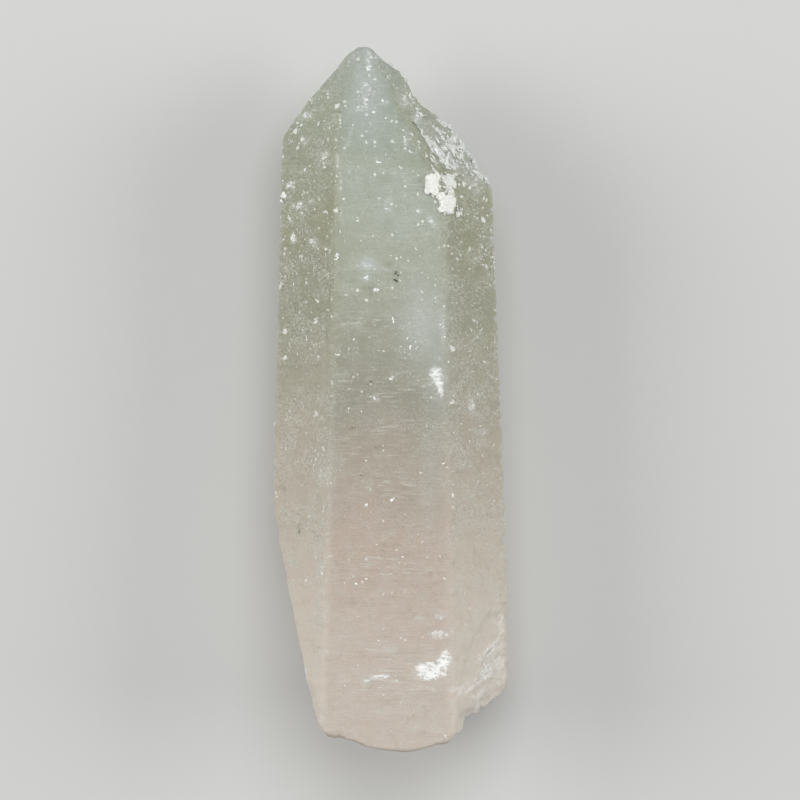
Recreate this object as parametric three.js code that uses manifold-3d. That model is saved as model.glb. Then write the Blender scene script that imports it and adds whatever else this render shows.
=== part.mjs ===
// A single crystal of quartz, tinted pale green by actinolite too fine to see as separate needles.
// It is one natural piece, lying on one of its six long faces, with the broken foot towards -Y.
// Millimetres. X runs across the crystal, Y along it towards the tip, Z up from the face it lies on.

import * as THREE from "three";
import { mergeVertices } from "three/addons/utils/BufferGeometryUtils.js";
import Module from "manifold-3d";

const wasm = await Module();
wasm.setup();

// Driving dimensions
const LENGTH = 58.4; // broken foot to tip
const HALF_LENGTH = LENGTH / 2;
const AXIS_HEIGHT = 7.9; // of the long axis above the face that it lies on
const SHOULDER_Y = 17.3; // where the long faces give way to the tip
const FOOT_Y = -29.2;
const STOCK = 120; // side of the block that the faces are cut from

// The long faces. azimuth is the way each one looks, in degrees about the long axis, with 0 towards
// +X and 90 up. Each has its distance from the axis at the shoulder and at the foot, because the
// crystal thins towards its tip.
const LONG_FACES = {
  upper: { azimuth: 90, atShoulder: 7.55, atFoot: 8.45 },
  upperLeft: { azimuth: 150, atShoulder: 7.67, atFoot: 9.36 },
  lowerLeft: { azimuth: 210, atShoulder: 8.42, atFoot: 8.8 },
  resting: { azimuth: 270, atShoulder: AXIS_HEIGHT, atFoot: AXIS_HEIGHT },
  lowerRight: { azimuth: 330, atShoulder: 7.07, atFoot: 9.1 },
  upperRight: { azimuth: 30, atShoulder: 7.585, atFoot: 8.75 },
};

// The tip faces. lean is the angle between a face's normal and the long axis, and meetsAxis is the
// Y where its plane crosses that axis.
const TIP_FACES = {
  upper: { azimuth: 86, lean: 54.5, meetsAxis: 29.9 },
  upperLeft: { azimuth: 144, lean: 56, meetsAxis: 32.8 },
  lowerLeft: { azimuth: 210, lean: 54, meetsAxis: 32.8 },
  resting: { azimuth: 270, lean: 54, meetsAxis: 28.7 },
  lowerRight: { azimuth: 330, lean: 54, meetsAxis: 27.5 },
  upperRight: { azimuth: 28.5, lean: 53, meetsAxis: 27.4 },
};
const ROUND = ["upper", "upperLeft", "lowerLeft", "resting", "lowerRight", "upperRight"];
const SIDE_FACES = ["upperLeft", "upperRight", "lowerLeft", "lowerRight"];
const SHOWN_FACES = ["upper", ...SIDE_FACES];

// How deep the worn edges are cut back
const LONG_EDGE_WEAR = 0.13;
const TIP_EDGE_WEAR = 0.12;
const SHOULDER_WEAR = 0.16;
const TIP_WEAR = 0.35;
const BLUNT_TIP = { facing: [-0.15, 1, 0.1], point: [-2.2, HALF_LENGTH, 0] };
const LEAST_UPWARD = 0.05; // a face that looks up less than this isn't seen from above

// Shell-like breaks. centre is where the ripples start, facing the outward normal. dish is the radius
// of the hollow, negative for a bulge, and stretch widens it upwards.
const BREAKS = {
  foot: { centre: [2, -30.8, 14], facing: [0.03, -0.97, -0.25], dish: -21, reach: 15, stretch: 3 },
  footUnder: { centre: [-1.5, -25.9, -11], facing: [-0.1, -0.75, -0.65], dish: 13, reach: 12 },
  footLeft: { centre: [-6.68, -20, -2], facing: [-0.947, -0.269, -0.178], dish: -180, reach: 26 },
  footRight: { centre: [8.7, -27.4, -6.5], facing: [0.72, -0.67, -0.16], dish: 70, reach: 20 },
  footFlake: { centre: [10.1, -27.7, -1.6], facing: [0.86, 0.05, 0.5], dish: 64, reach: 14 },
  footChip: { centre: [5.3, -28.2, 7.3], facing: [0.55, -0.8, 0.2], dish: 2.4, reach: 2 },
};
const RIPPLE_LENGTH = 1.7;
const RIPPLE_HEIGHT = 0.09;
const RIPPLE_UNEVENNESS = 0.4; // how far the ripples wander, as a share of a ripple
const BREAK_DEPTH = 26; // thickness of the cutter behind a break
const BREAK_SIDES = 40;
const BREAK_RINGS = 24;

// Growth steps: bands across the long faces, each from one Y to another, sunk by its depth
const BANDS = {
  upperLeft: [
    { from: -2.2, to: 2.7, depth: 0.07 },
    { from: 8.3, to: 11.6, depth: 0.08 },
  ],
  lowerLeft: [
    { from: -12, to: -6.4, depth: 0.1 },
    { from: 1.2, to: 6.8, depth: 0.07 },
  ],
  upperRight: [
    { from: -12.4, to: -9.7, depth: 0.07 },
    { from: -3.9, to: -0.6, depth: 0.09 },
    { from: 5.2, to: 8.1, depth: 0.08 },
    { from: 11.4, to: 13.3, depth: 0.1 },
  ],
  lowerRight: [
    { from: -15.7, to: -12.2, depth: 0.1 },
    { from: -1.4, to: 1.6, depth: 0.08 },
    { from: 7.6, to: 10.9, depth: 0.09 },
  ],
};

// Scallops along the right-hand edge, and smaller ones along the left-hand edge
const RIGHT_SCALLOPS = { side: 1, from: 16.4, to: -17, count: 22, radius: 0.72, bite: 0.3 };
const LEFT_SCALLOPS = { side: -1, from: 11, to: -9, count: 13, radius: 0.6, bite: 0.18 };
const SCALLOP_SIZES = { radius: [0.65, 1.25], bite: [0.3, 1.2], shape: [1, 0.8, 2.6] };

// The broken shoulder: a slab of steeper tip faces that stands proud on the right, the two breaks
// that end it, the hollows in it and the lumps bitten out of its edge. Places given as X and Y are
// found on the surface as seen from above.
const SLAB_TIP_FACES = {
  upperRight: { azimuth: 28.5, lean: 60, meetsAxis: 30.15 },
  lowerRight: { azimuth: 330, lean: 60, meetsAxis: 30.15 },
};
const SLAB_ENDS = [
  { facing: [0.37, 0.92, 0.12], point: [4.4, 22.85, 0] },
  { facing: [-0.78, -0.58, 0.25], point: [2.35, 22.7, 5.2] },
  { facing: [0.1, 0.3, -0.95], point: [6, 20, -4.6] },
];
const HOLLOWS = [
  { place: [3.95, 21.35], size: [1.15, 0.66, 0.5], turn: -52 },
  { place: [4.95, 19.6], size: [0.85, 0.55, 0.4], turn: -30 },
  { place: [6.3, 18.9], size: [0.9, 0.5, 0.35], turn: -60 },
  { place: [5.6, 20.9], size: [0.6, 0.4, 0.3], turn: 10 },
];
const EDGE_BITES = { from: [4.1, 23.35, 0], to: [8.35, 18.2, 0], count: 15, size: [0.4, 0.8] };
const EDGE_BITE_SPREAD = [0.12, 0.12, 1.6];
const SLAB_BITES = { from: [3.1, 22.4], to: [6.9, 18.7], count: 14, size: [0.3, 0.62], spread: 0.75 };
const RIDGES = [
  { from: [2.3, 22.8], to: [3.5, 20.9], count: 7, size: [0.22, 0.4], spread: 0.1 },
  { from: [3.5, 20.9], to: [5.4, 19.4], count: 7, size: [0.24, 0.42], spread: 0.16 },
  { from: [4.9, 22.1], to: [7.3, 18.6], count: 10, size: [0.3, 0.6], spread: 0.3 },
];
const RIDGE_FLATNESS = 0.6;

// The pale crust grown on the front edge below the broken shoulder, as flakes that lie on the face
const CRUST = [
  { place: [3.3, 18], size: 1.2 },
  { place: [3.75, 17.3], size: 1.0 },
  { place: [4.75, 18], size: 1.0 },
  { place: [5.2, 17.4], size: 0.6 },
  { place: [4.7, 16.6], size: 1.05 },
  { place: [5.3, 15.8], size: 0.85 },
  { place: [4.5, 15.9], size: 0.45 },
];
const CRUST_FLATNESS = 0.3;

// Sugary grains scattered on the faces, and one larger grain on the left-hand edge
const GRAINS = { count: 40, size: [0.2, 0.42], sunk: 0.14, across: 0.9, span: [-19, 14.8] };
const EDGE_GRAIN = { centre: [-8.95, 16.75, -0.35], size: 0.6 };

// Pits on the faces
const PITS = { count: 16, radius: [0.4, 0.9], depth: [0.24, 0.34], across: 0.8, span: [-20, 14.3] };
const PIT_NARROWING = 0.7;
const PIT_SIDES = 7;
const PIT_RINGS = 4;

// An irregular lump: the least each half width can be, how much more chance adds, and how far it tips
const LUMP_HALF_WIDTHS = [0.7, 0.55, 0.6];
const LUMP_VARIATION = 0.3;
const LUMP_TIPPING = 0.5;
const BEAD_DETAIL = 1; // how often the faces of a rounded cutter are split
const SEED = 20;

// Vertices nearer than WELD are one vertex. The finished crystal's vertices lie on a fine grid, and
// parts of the surface that only touch are drawn apart.
const WELD = 1e-4;
const GRID = 1e-3;
const APART = 0.01;
const CLOSING_PASSES = 3;
const SLIVER = 0.02;

const degrees = THREE.MathUtils.degToRad;

// A repeatable stream of numbers from 0 to 1.
function stream(seed) {
  let state = seed;
  return () => {
    state = (state * 1664525 + 1013904223) % 4294967296;
    return state / 4294967296;
  };
}

const between = (random, [low, high]) => low + (high - low) * random();
const spread = (random, reach) => reach * (2 * random() - 1);

// Turns a closed geometry into a solid that can be joined and cut.
function solid(geometry, matrix = new THREE.Matrix4()) {
  const bare = geometry.clone().applyMatrix4(matrix);
  bare.deleteAttribute("normal");
  bare.deleteAttribute("uv");
  const merged = mergeVertices(bare, WELD);
  return new wasm.Manifold(
    new wasm.Mesh({
      numProp: 3,
      vertProperties: merged.getAttribute("position").array,
      triVerts: new Uint32Array(merged.index.array),
    }),
  );
}

// The matrix that takes +Z to facing and the origin to centre.
function facingMatrix(centre, facing, roll = 0, size = [1, 1, 1]) {
  const turn = new THREE.Quaternion().setFromUnitVectors(
    new THREE.Vector3(0, 0, 1),
    new THREE.Vector3(...facing).normalize(),
  );
  turn.multiply(new THREE.Quaternion().setFromAxisAngle(new THREE.Vector3(0, 0, 1), roll));
  return new THREE.Matrix4().compose(
    new THREE.Vector3(...centre),
    turn,
    new THREE.Vector3(...size),
  );
}

// Planes keep everything on the side away from their normal. They are measured from the long axis.
function plane(normal, point) {
  const unit = normal.clone().normalize();
  return { normal: unit, offset: unit.dot(point) };
}

const outward = (azimuth) =>
  new THREE.Vector3(Math.cos(degrees(azimuth)), 0, Math.sin(degrees(azimuth)));

function longPlane({ azimuth, atShoulder, atFoot }) {
  const out = outward(azimuth);
  const taper = (atFoot - atShoulder) / (SHOULDER_Y - FOOT_Y);
  const normal = out.clone().add(new THREE.Vector3(0, taper, 0));
  return plane(normal, out.clone().multiplyScalar(atShoulder).setY(SHOULDER_Y));
}

function tipPlane({ azimuth, lean, meetsAxis }) {
  const normal = outward(azimuth).multiplyScalar(Math.sin(degrees(lean)));
  normal.y = Math.cos(degrees(lean));
  return plane(normal, new THREE.Vector3(0, meetsAxis, 0));
}

// The plane that cuts the edge between two planes back by wear.
function wornEdge(first, second, wear) {
  const along = first.normal.clone().cross(second.normal);
  const onEdge = second.normal
    .clone()
    .cross(along)
    .multiplyScalar(first.offset)
    .add(along.clone().cross(first.normal).multiplyScalar(second.offset))
    .divideScalar(along.lengthSq());
  const normal = first.normal.clone().add(second.normal).normalize();
  return { normal, offset: normal.dot(onEdge) - wear };
}

// The block on the outer side of a plane.
function beyond({ normal, offset }) {
  const foot = normal.clone().multiplyScalar(offset + STOCK / 2);
  const block = new THREE.BoxGeometry(STOCK * 2, STOCK * 2, STOCK);
  return solid(block, facingMatrix(foot.toArray(), normal.toArray()));
}

// The planes of the flat-faced crystal: six long faces, six tip faces and the worn edges between.
function crystalPlanes(tipFaces) {
  const long = ROUND.map((name) => longPlane(LONG_FACES[name]));
  const tip = ROUND.map((name) => tipPlane(tipFaces[name]));
  const planes = [...long, ...tip];
  ROUND.forEach((name, i) => {
    const next = (i + 1) % ROUND.length;
    planes.push(wornEdge(long[i], long[next], LONG_EDGE_WEAR));
    planes.push(wornEdge(tip[i], tip[next], TIP_EDGE_WEAR));
    planes.push(wornEdge(long[i], tip[i], SHOULDER_WEAR));
  });
  planes.push(plane(new THREE.Vector3(...BLUNT_TIP.facing), new THREE.Vector3(...BLUNT_TIP.point)));
  planes.push(wornEdge(tip[0], tip[3], TIP_WEAR));
  return planes;
}

const CRYSTAL_PLANES = crystalPlanes(TIP_FACES);
const SLAB_PLANES = [
  ...crystalPlanes({ ...TIP_FACES, ...SLAB_TIP_FACES }),
  ...SLAB_ENDS.map(({ facing, point }) =>
    plane(new THREE.Vector3(...facing), new THREE.Vector3(...point)),
  ),
];
const cutByPlanes = (planes) =>
  planes.reduce(
    (form, each) => form.subtract(beyond(each)),
    solid(new THREE.BoxGeometry(STOCK, STOCK, STOCK)),
  );

// The point of a form's surface straight below a viewer at [x, y], with the normal of its face there.
function seenFromAbove([x, y], planes = CRYSTAL_PLANES) {
  const heights = planes.filter(({ normal }) => normal.z > LEAST_UPWARD).map((each) => ({
    z: (each.offset - each.normal.x * x - each.normal.y * y) / each.normal.z,
    normal: each.normal,
  }));
  const { z, normal } = heights.reduce((low, each) => (each.z < low.z ? each : low));
  return { point: new THREE.Vector3(x, y, z), normal };
}

// A thick disc whose inner side is a rippled dish, for a shell-like break.
function breakCutter({ centre, facing, dish, reach, stretch = 1 }) {
  const profile = [];
  for (let ring = 0; ring <= BREAK_RINGS; ring += 1) {
    const radius = (reach * ring) / BREAK_RINGS;
    const phase = radius / RIPPLE_LENGTH + RIPPLE_UNEVENNESS * Math.sin(radius);
    const ripple = RIPPLE_HEIGHT * Math.sin(2 * Math.PI * phase);
    const hollow = (radius * radius) / (2 * dish);
    profile.push(new THREE.Vector2(radius, ring === 0 ? hollow : hollow + ripple));
  }
  profile.push(new THREE.Vector2(reach, BREAK_DEPTH));
  profile.push(new THREE.Vector2(0, BREAK_DEPTH));
  const lathe = new THREE.LatheGeometry(profile, BREAK_SIDES);
  const upright = new THREE.Matrix4().makeRotationX(Math.PI / 2);
  return solid(lathe, facingMatrix(centre, facing, 0, [1, stretch, 1]).multiply(upright));
}

// A point on a long face: along is Y, and across runs from -1 to 1 between the face's two edges.
function onLongFace(name, along, across) {
  const face = LONG_FACES[name];
  const share = (SHOULDER_Y - along) / (SHOULDER_Y - FOOT_Y);
  const distance = face.atShoulder + (face.atFoot - face.atShoulder) * share;
  const side = outward(face.azimuth + 90);
  const reach = distance * Math.tan(degrees(30)) * across;
  return outward(face.azimuth).multiplyScalar(distance).addScaledVector(side, reach).setY(along);
}

// The growth steps, as what they leave out of each face.
function growthSteps() {
  return Object.entries(BANDS).flatMap(([name, bands]) =>
    bands.map(({ from, to, depth }) => {
      const { normal, offset } = longPlane(LONG_FACES[name]);
      const slice = new THREE.BoxGeometry(STOCK * 2, to - from, STOCK * 2);
      slice.translate(0, (from + to) / 2, 0);
      return beyond({ normal, offset: offset - depth }).intersect(solid(slice));
    }),
  );
}

// Scallops bitten out of a side edge.
function scallops({ side, from, to, count, radius, bite }, random) {
  const [upper, lower] = side > 0 ? ["upperRight", "lowerRight"] : ["upperLeft", "lowerLeft"];
  return Array.from({ length: count }, (_, i) => {
    const along = from + ((to - from) * (i + random())) / count;
    const edge = onLongFace(upper, along, side > 0 ? -1 : 1)
      .add(onLongFace(lower, along, side > 0 ? 1 : -1))
      .multiplyScalar(0.5);
    const size = radius * between(random, SCALLOP_SIZES.radius);
    const depth = bite * between(random, SCALLOP_SIZES.bite);
    const centre = [edge.x + side * (size - depth), along, edge.z];
    const scale = SCALLOP_SIZES.shape.map((share) => share * size);
    const bead = new THREE.IcosahedronGeometry(1, BEAD_DETAIL);
    return solid(bead, facingMatrix(centre, [0, 0, 1], random(), scale));
  });
}

// An irregular flat-faced lump, tipped a little from the way it faces.
function lump(centre, size, random, facing = new THREE.Vector3(0, 0, 1), flatness = 1) {
  const tipping = LUMP_TIPPING * flatness;
  const tip = new THREE.Vector3(spread(random, tipping), spread(random, tipping), 0);
  const tipped = facing.clone().add(tip);
  const scale = LUMP_HALF_WIDTHS.map((share) => size * (share + LUMP_VARIATION * random()));
  scale[2] *= flatness;
  const shape = new THREE.DodecahedronGeometry(1, 0);
  const roll = Math.PI * random();
  return solid(shape, facingMatrix(centre.toArray(), tipped.toArray(), roll, scale));
}

// Irregular lumps strewn about a line.
function lumpsAlong({ from, to, count, size }, [x, y, z], random) {
  const start = new THREE.Vector3(...from);
  const end = new THREE.Vector3(...to);
  return Array.from({ length: count }, () => {
    const centre = start.clone().lerp(end, random());
    centre.add(new THREE.Vector3(spread(random, x), spread(random, y), spread(random, z)));
    return lump(centre, between(random, size), random);
  });
}

// Flattened lumps strewn about a line on the slab.
function lumpsOnSlab({ from, to, count, size, spread: reach }, random) {
  return Array.from({ length: count }, (_, i) => {
    const share = (i + random()) / count;
    const place = from.map(
      (value, axis) => value + (to[axis] - value) * share + spread(random, reach),
    );
    const { point, normal } = seenFromAbove(place, SLAB_PLANES.slice(0, -SLAB_ENDS.length));
    return lump(point, between(random, size), random, normal, RIDGE_FLATNESS);
  });
}

// The broken shoulder added to the body on the right of the tip.
function withBrokenShoulder(body, random) {
  const hollows = HOLLOWS.map(({ place, size, turn }) => {
    const { point, normal } = seenFromAbove(place, SLAB_PLANES.slice(0, -SLAB_ENDS.length));
    const bead = new THREE.IcosahedronGeometry(1, BEAD_DETAIL);
    return solid(bead, facingMatrix(point.toArray(), normal.toArray(), degrees(turn), size));
  });
  const slab = cut(cutByPlanes(SLAB_PLANES), hollows);
  let whole = join(body.add(slab), RIDGES.flatMap((each) => lumpsOnSlab(each, random)));
  whole = cut(whole, lumpsAlong(EDGE_BITES, EDGE_BITE_SPREAD, random));
  return cut(whole, lumpsOnSlab(SLAB_BITES, random));
}

// The pale crust: flakes that overlap and lie on the face.
function crust(random) {
  return CRUST.map(({ place, size }) => {
    const { point, normal } = seenFromAbove(place);
    return lump(point, size, random, normal, CRUST_FLATNESS);
  });
}

// Sugary grains half sunk in the faces.
function grains(random) {
  return Array.from({ length: GRAINS.count }, () => {
    const name = SHOWN_FACES[Math.floor(random() * SHOWN_FACES.length)];
    const facing = outward(LONG_FACES[name].azimuth);
    const along = between(random, GRAINS.span);
    const place = onLongFace(name, along, spread(random, GRAINS.across));
    place.addScaledVector(facing, -GRAINS.sunk);
    const size = between(random, GRAINS.size);
    const shape = new THREE.OctahedronGeometry(1, 0);
    const roll = Math.PI * random();
    return solid(shape, facingMatrix(place.toArray(), facing.toArray(), roll, [size, size, size]));
  });
}

// Shallow pits in the faces.
function pits(random) {
  return Array.from({ length: PITS.count }, () => {
    const name = SHOWN_FACES[Math.floor(random() * SHOWN_FACES.length)];
    const facing = outward(LONG_FACES[name].azimuth);
    const radius = between(random, PITS.radius);
    const depth = between(random, PITS.depth);
    const along = between(random, PITS.span);
    const place = onLongFace(name, along, spread(random, PITS.across));
    const shape = new THREE.SphereGeometry(1, PIT_SIDES, PIT_RINGS);
    const size = [radius, radius * PIT_NARROWING, depth];
    const roll = Math.PI * random();
    return solid(shape, facingMatrix(place.toArray(), facing.toArray(), roll, size));
  });
}

const join = (first, more) => more.reduce((whole, each) => whole.add(each), first);
const cut = (first, more) => more.reduce((whole, each) => whole.subtract(each), first);

// The whole crystal as one solid, about its long axis.
function quartzCrystal() {
  const random = stream(SEED);
  let body = cutByPlanes(CRYSTAL_PLANES);
  body = cut(body, [...growthSteps(), ...pits(random)]);
  body = join(body, grains(random));
  body = withBrokenShoulder(body, random);
  body = join(body, crust(random));
  body = cut(body, [...scallops(RIGHT_SCALLOPS, random), ...scallops(LEFT_SCALLOPS, random)]);
  body = join(body, [lump(new THREE.Vector3(...EDGE_GRAIN.centre), EDGE_GRAIN.size, random)]);
  body = cut(body, Object.values(BREAKS).map(breakCutter));
  return cut(body, [beyond(longPlane(LONG_FACES.resting))]);
}

// The largest connected piece of a solid, without the specks that the cuts left loose.
const largest = (body) =>
  body.decompose().reduce((best, each) => (each.volume() > best.volume() ? each : best));

function geometryOf(body) {
  const mesh = body.getMesh();
  const geometry = new THREE.BufferGeometry();
  geometry.setAttribute("position", new THREE.BufferAttribute(mesh.vertProperties, 3));
  geometry.setIndex(new THREE.BufferAttribute(mesh.triVerts, 1));
  return geometry;
}

// Moves every vertex to the nearest point of a fine grid, so that near neighbours meet, and drops
// the pairs of faces that this folds flat against each other.
function closedUp(geometry) {
  const position = geometry.getAttribute("position");
  position.array.forEach((value, i) => {
    position.array[i] = Math.round(value / GRID) * GRID;
  });
  const welded = mergeVertices(geometry, WELD);
  const faces = new Map();
  const facesOn = (name) => faces.get(name) ?? faces.set(name, []).get(name);
  for (let i = 0; i < welded.index.count; i += 3) {
    const [a, b, c] = welded.index.array.slice(i, i + 3);
    if (a === b || b === c || c === a) continue;
    const [first, second, third] = [[a, b, c], [b, c, a], [c, a, b]].find(
      (turn) => turn[0] === Math.min(a, b, c),
    );
    const opposite = facesOn([first, third, second].join());
    if (opposite.length > 0) opposite.pop();
    else facesOn([first, second, third].join()).push([first, second, third]);
  }
  welded.setIndex([...faces.values()].flat(2));
  return welded;
}

// Draws parts of the surface that only touch at a point or along an edge apart, each vertex towards
// the middle of its own faces.
function drawnApart(geometry) {
  const position = geometry.getAttribute("position");
  const corners = geometry.index.array;
  const pointAt = (i) => new THREE.Vector3().fromBufferAttribute(position, i);
  const places = new Map();
  for (let i = 0; i < position.count; i += 1) {
    const name = pointAt(i).divideScalar(GRID).round().toArray().join();
    places.set(name, [...(places.get(name) ?? []), i]);
  }
  const touching = new Set([...places.values()].filter((each) => each.length > 1).flat());
  const middles = new Map([...touching].map((i) => [i, { sum: new THREE.Vector3(), count: 0 }]));
  corners.forEach((corner, place) => {
    if (!touching.has(corner)) return;
    const first = place - (place % 3);
    const middle = middles.get(corner);
    for (let other = first; other < first + 3; other += 1) middle.sum.add(pointAt(corners[other]));
    middle.count += 3;
  });
  for (const [i, { sum, count }] of middles) {
    const point = pointAt(i);
    const towards = sum.divideScalar(count).sub(point).setLength(APART);
    point.add(towards);
    position.setXYZ(i, point.x, point.y, point.z);
  }
  return geometry;
}

// The crystal lying on its resting face, centred across and along.
function lyingDown(body) {
  const geometry = geometryOf(largest(body));
  geometry.computeBoundingBox();
  const middle = geometry.boundingBox.getCenter(new THREE.Vector3());
  geometry.translate(-middle.x, -middle.y, AXIS_HEIGHT);
  let whole = geometry;
  for (let pass = 0; pass < CLOSING_PASSES; pass += 1) {
    whole = drawnApart(geometryOf(largest(solid(closedUp(whole)).simplify(SLIVER))));
  }
  return whole;
}

const paleGreenQuartz = new THREE.MeshStandardMaterial({
  color: 0xb4b7a5,
  roughness: 0.5,
  metalness: 0,
});

const crystal = new THREE.Mesh(lyingDown(quartzCrystal()), paleGreenQuartz);
crystal.name = "quartz_crystal";

const group = new THREE.Group();
group.add(crystal);

export default group;
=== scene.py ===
"""Looks of a single quartz crystal, tinted pale green by the actinolite in it.

Everything is in metres with +Z up. The crystal lies on one of its long faces with its tip towards
+Y, and the camera looks straight down on it. Sizes of the crystal's own features are given in
millimetres and measured from its long axis, as a person would measure them.
"""

import logging
import math
import random
from dataclasses import dataclass
from enum import Enum
from typing import Sequence

import bmesh
import bpy
import numpy as np
from mathutils import Matrix, Vector, noise


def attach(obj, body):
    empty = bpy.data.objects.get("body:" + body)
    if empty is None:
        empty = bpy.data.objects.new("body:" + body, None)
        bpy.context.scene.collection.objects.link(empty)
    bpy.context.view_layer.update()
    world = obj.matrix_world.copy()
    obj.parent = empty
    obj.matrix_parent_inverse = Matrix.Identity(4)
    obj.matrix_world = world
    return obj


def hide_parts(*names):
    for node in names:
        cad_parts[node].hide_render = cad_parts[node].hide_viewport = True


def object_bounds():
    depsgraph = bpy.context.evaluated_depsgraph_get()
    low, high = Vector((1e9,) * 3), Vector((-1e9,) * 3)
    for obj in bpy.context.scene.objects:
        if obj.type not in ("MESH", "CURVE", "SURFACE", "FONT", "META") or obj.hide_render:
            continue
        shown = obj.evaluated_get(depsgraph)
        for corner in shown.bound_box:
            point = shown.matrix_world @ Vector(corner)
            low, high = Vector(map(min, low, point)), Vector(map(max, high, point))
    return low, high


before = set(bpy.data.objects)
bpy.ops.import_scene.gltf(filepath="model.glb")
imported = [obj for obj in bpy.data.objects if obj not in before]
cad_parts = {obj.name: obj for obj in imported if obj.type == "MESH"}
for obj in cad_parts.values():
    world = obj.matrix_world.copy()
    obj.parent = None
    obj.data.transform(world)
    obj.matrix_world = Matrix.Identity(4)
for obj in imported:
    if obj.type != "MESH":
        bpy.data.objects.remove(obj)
CAD_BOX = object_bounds()

LOG = logging.getLogger("crystal")
MM = 0.001
AXIS_HEIGHT = 7.9  # of the long axis above the resting face
LENGTH = 58.4
HALF_LENGTH = LENGTH / 2
SHOULDER_Y = 17.3
FOOT_Y = -29.2
PHOTO_MIDDLE = 400.0  # pixels from either side of the photograph
PIXELS_A_MM = 12.0  # at the height of the long axis
CAMERA_DISTANCE = 1000.0  # from the long axis
AXIS_SHIFT = (0.056, 0.103)  # of the long axis, where the frame puts the middle of the whole box
VIEW_CENTRE = (0.71, -0.21)  # the photograph's middle, in millimetres from the long axis's middle

QUARTZ_REFRACTION = 1.544
PRINCIPLED = "ShaderNodeBsdfPrincipled"

Colour = tuple[float, float, float]
ALIKE = (1.0, 1.0, 0.35)  # scale of a texture that has one grain on level and on sloping faces
Stops = tuple[tuple[float, Colour], ...]


class Side(Enum):
    """The six sides of the prism, named as they lie, with the azimuth that each looks along."""

    UPPER = 90.0
    UPPER_LEFT = 150.0
    LOWER_LEFT = 210.0
    RESTING = 270.0
    LOWER_RIGHT = 330.0
    UPPER_RIGHT = 30.0


def seen_at(points: np.ndarray) -> np.ndarray:
    """Works out where the camera sees places, in pixels of the photograph.

    Args:
        points: Places in millimetres from the middle of the long axis, one a row.

    Returns:
        Pixels across and down, one pair a row.
    """
    nearer = PIXELS_A_MM * CAMERA_DISTANCE / (CAMERA_DISTANCE - points[:, 2])
    across = PHOTO_MIDDLE + (points[:, 0] - VIEW_CENTRE[0]) * nearer
    down = PHOTO_MIDDLE - (points[:, 1] - VIEW_CENTRE[1]) * nearer
    return np.stack((across, down), axis=1)


def smooth_step(low: float, high: float, values: np.ndarray) -> np.ndarray:
    """Rises smoothly from 0 at low to 1 at high.

    Args:
        low: Where the rise starts.
        high: Where it ends.
        values: What is compared with the two.

    Returns:
        The rise, one number for each value.
    """
    share = np.clip((values - low) / (high - low), 0.0, 1.0)
    return share * share * (3.0 - 2.0 * share)


def fractal(points: np.ndarray, stretch: Sequence[float], octaves: int, seed: int) -> np.ndarray:
    """Smooth chance values that belong to places in space.

    Args:
        points: Places in millimetres, one a row.
        stretch: How many features there are to a millimetre along X, Y and Z.
        octaves: How many finer layers are added.
        seed: Picks one field among many.

    Returns:
        Values around 0, mostly between -1 and 1.
    """
    shift = np.array((seed * 17.31, seed * -5.77, seed * 9.13))
    moved = points * np.array(stretch) + shift
    return np.array([noise.fractal(Vector(each), 1.0, 2.0, octaves) for each in moved])


class Value:
    """A socket that holds a number, for use in Python expressions."""

    def __init__(self, graph: "Graph", socket: bpy.types.NodeSocket) -> None:
        """Wraps a socket of a graph."""
        self.graph = graph
        self.socket = socket

    def _math(self, operation: str, first: "Value | float", second: "Value | float") -> "Value":
        """Adds one Math node and wraps its result."""
        made = self.graph.node("ShaderNodeMath", {"operation": operation}, {0: first, 1: second})
        return Value(self.graph, made.outputs[0])

    def __add__(self, other: "Value | float") -> "Value":
        """Sum."""
        return self._math("ADD", self, other)

    def __radd__(self, other: float) -> "Value":
        """Sum with a number on the left."""
        return self._math("ADD", other, self)

    def __sub__(self, other: "Value | float") -> "Value":
        """Difference."""
        return self._math("SUBTRACT", self, other)

    def __rsub__(self, other: float) -> "Value":
        """Difference from a number."""
        return self._math("SUBTRACT", other, self)

    def __mul__(self, other: "Value | float") -> "Value":
        """Product."""
        return self._math("MULTIPLY", self, other)

    def __truediv__(self, other: "Value | float") -> "Value":
        """Quotient."""
        return self._math("DIVIDE", self, other)

    def __pow__(self, other: "Value | float") -> "Value":
        """Power."""
        return self._math("POWER", self, other)

    def size(self) -> "Value":
        """The number without its sign."""
        return self._math("ABSOLUTE", self, 0.0)

    def rise(self, low: float, high: float) -> "Value":
        """Rises smoothly from 0 at low to 1 at high."""
        inputs = {"Value": self, "From Min": low, "From Max": high}
        smooth = {"interpolation_type": "SMOOTHSTEP"}
        made = self.graph.node("ShaderNodeMapRange", smooth, inputs)
        return Value(self.graph, made.outputs["Result"])

    def held(self) -> "Value":
        """Keeps the number between 0 and 1."""
        made = self.graph.node("ShaderNodeClamp", {}, {"Value": self})
        return Value(self.graph, made.outputs[0])


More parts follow.
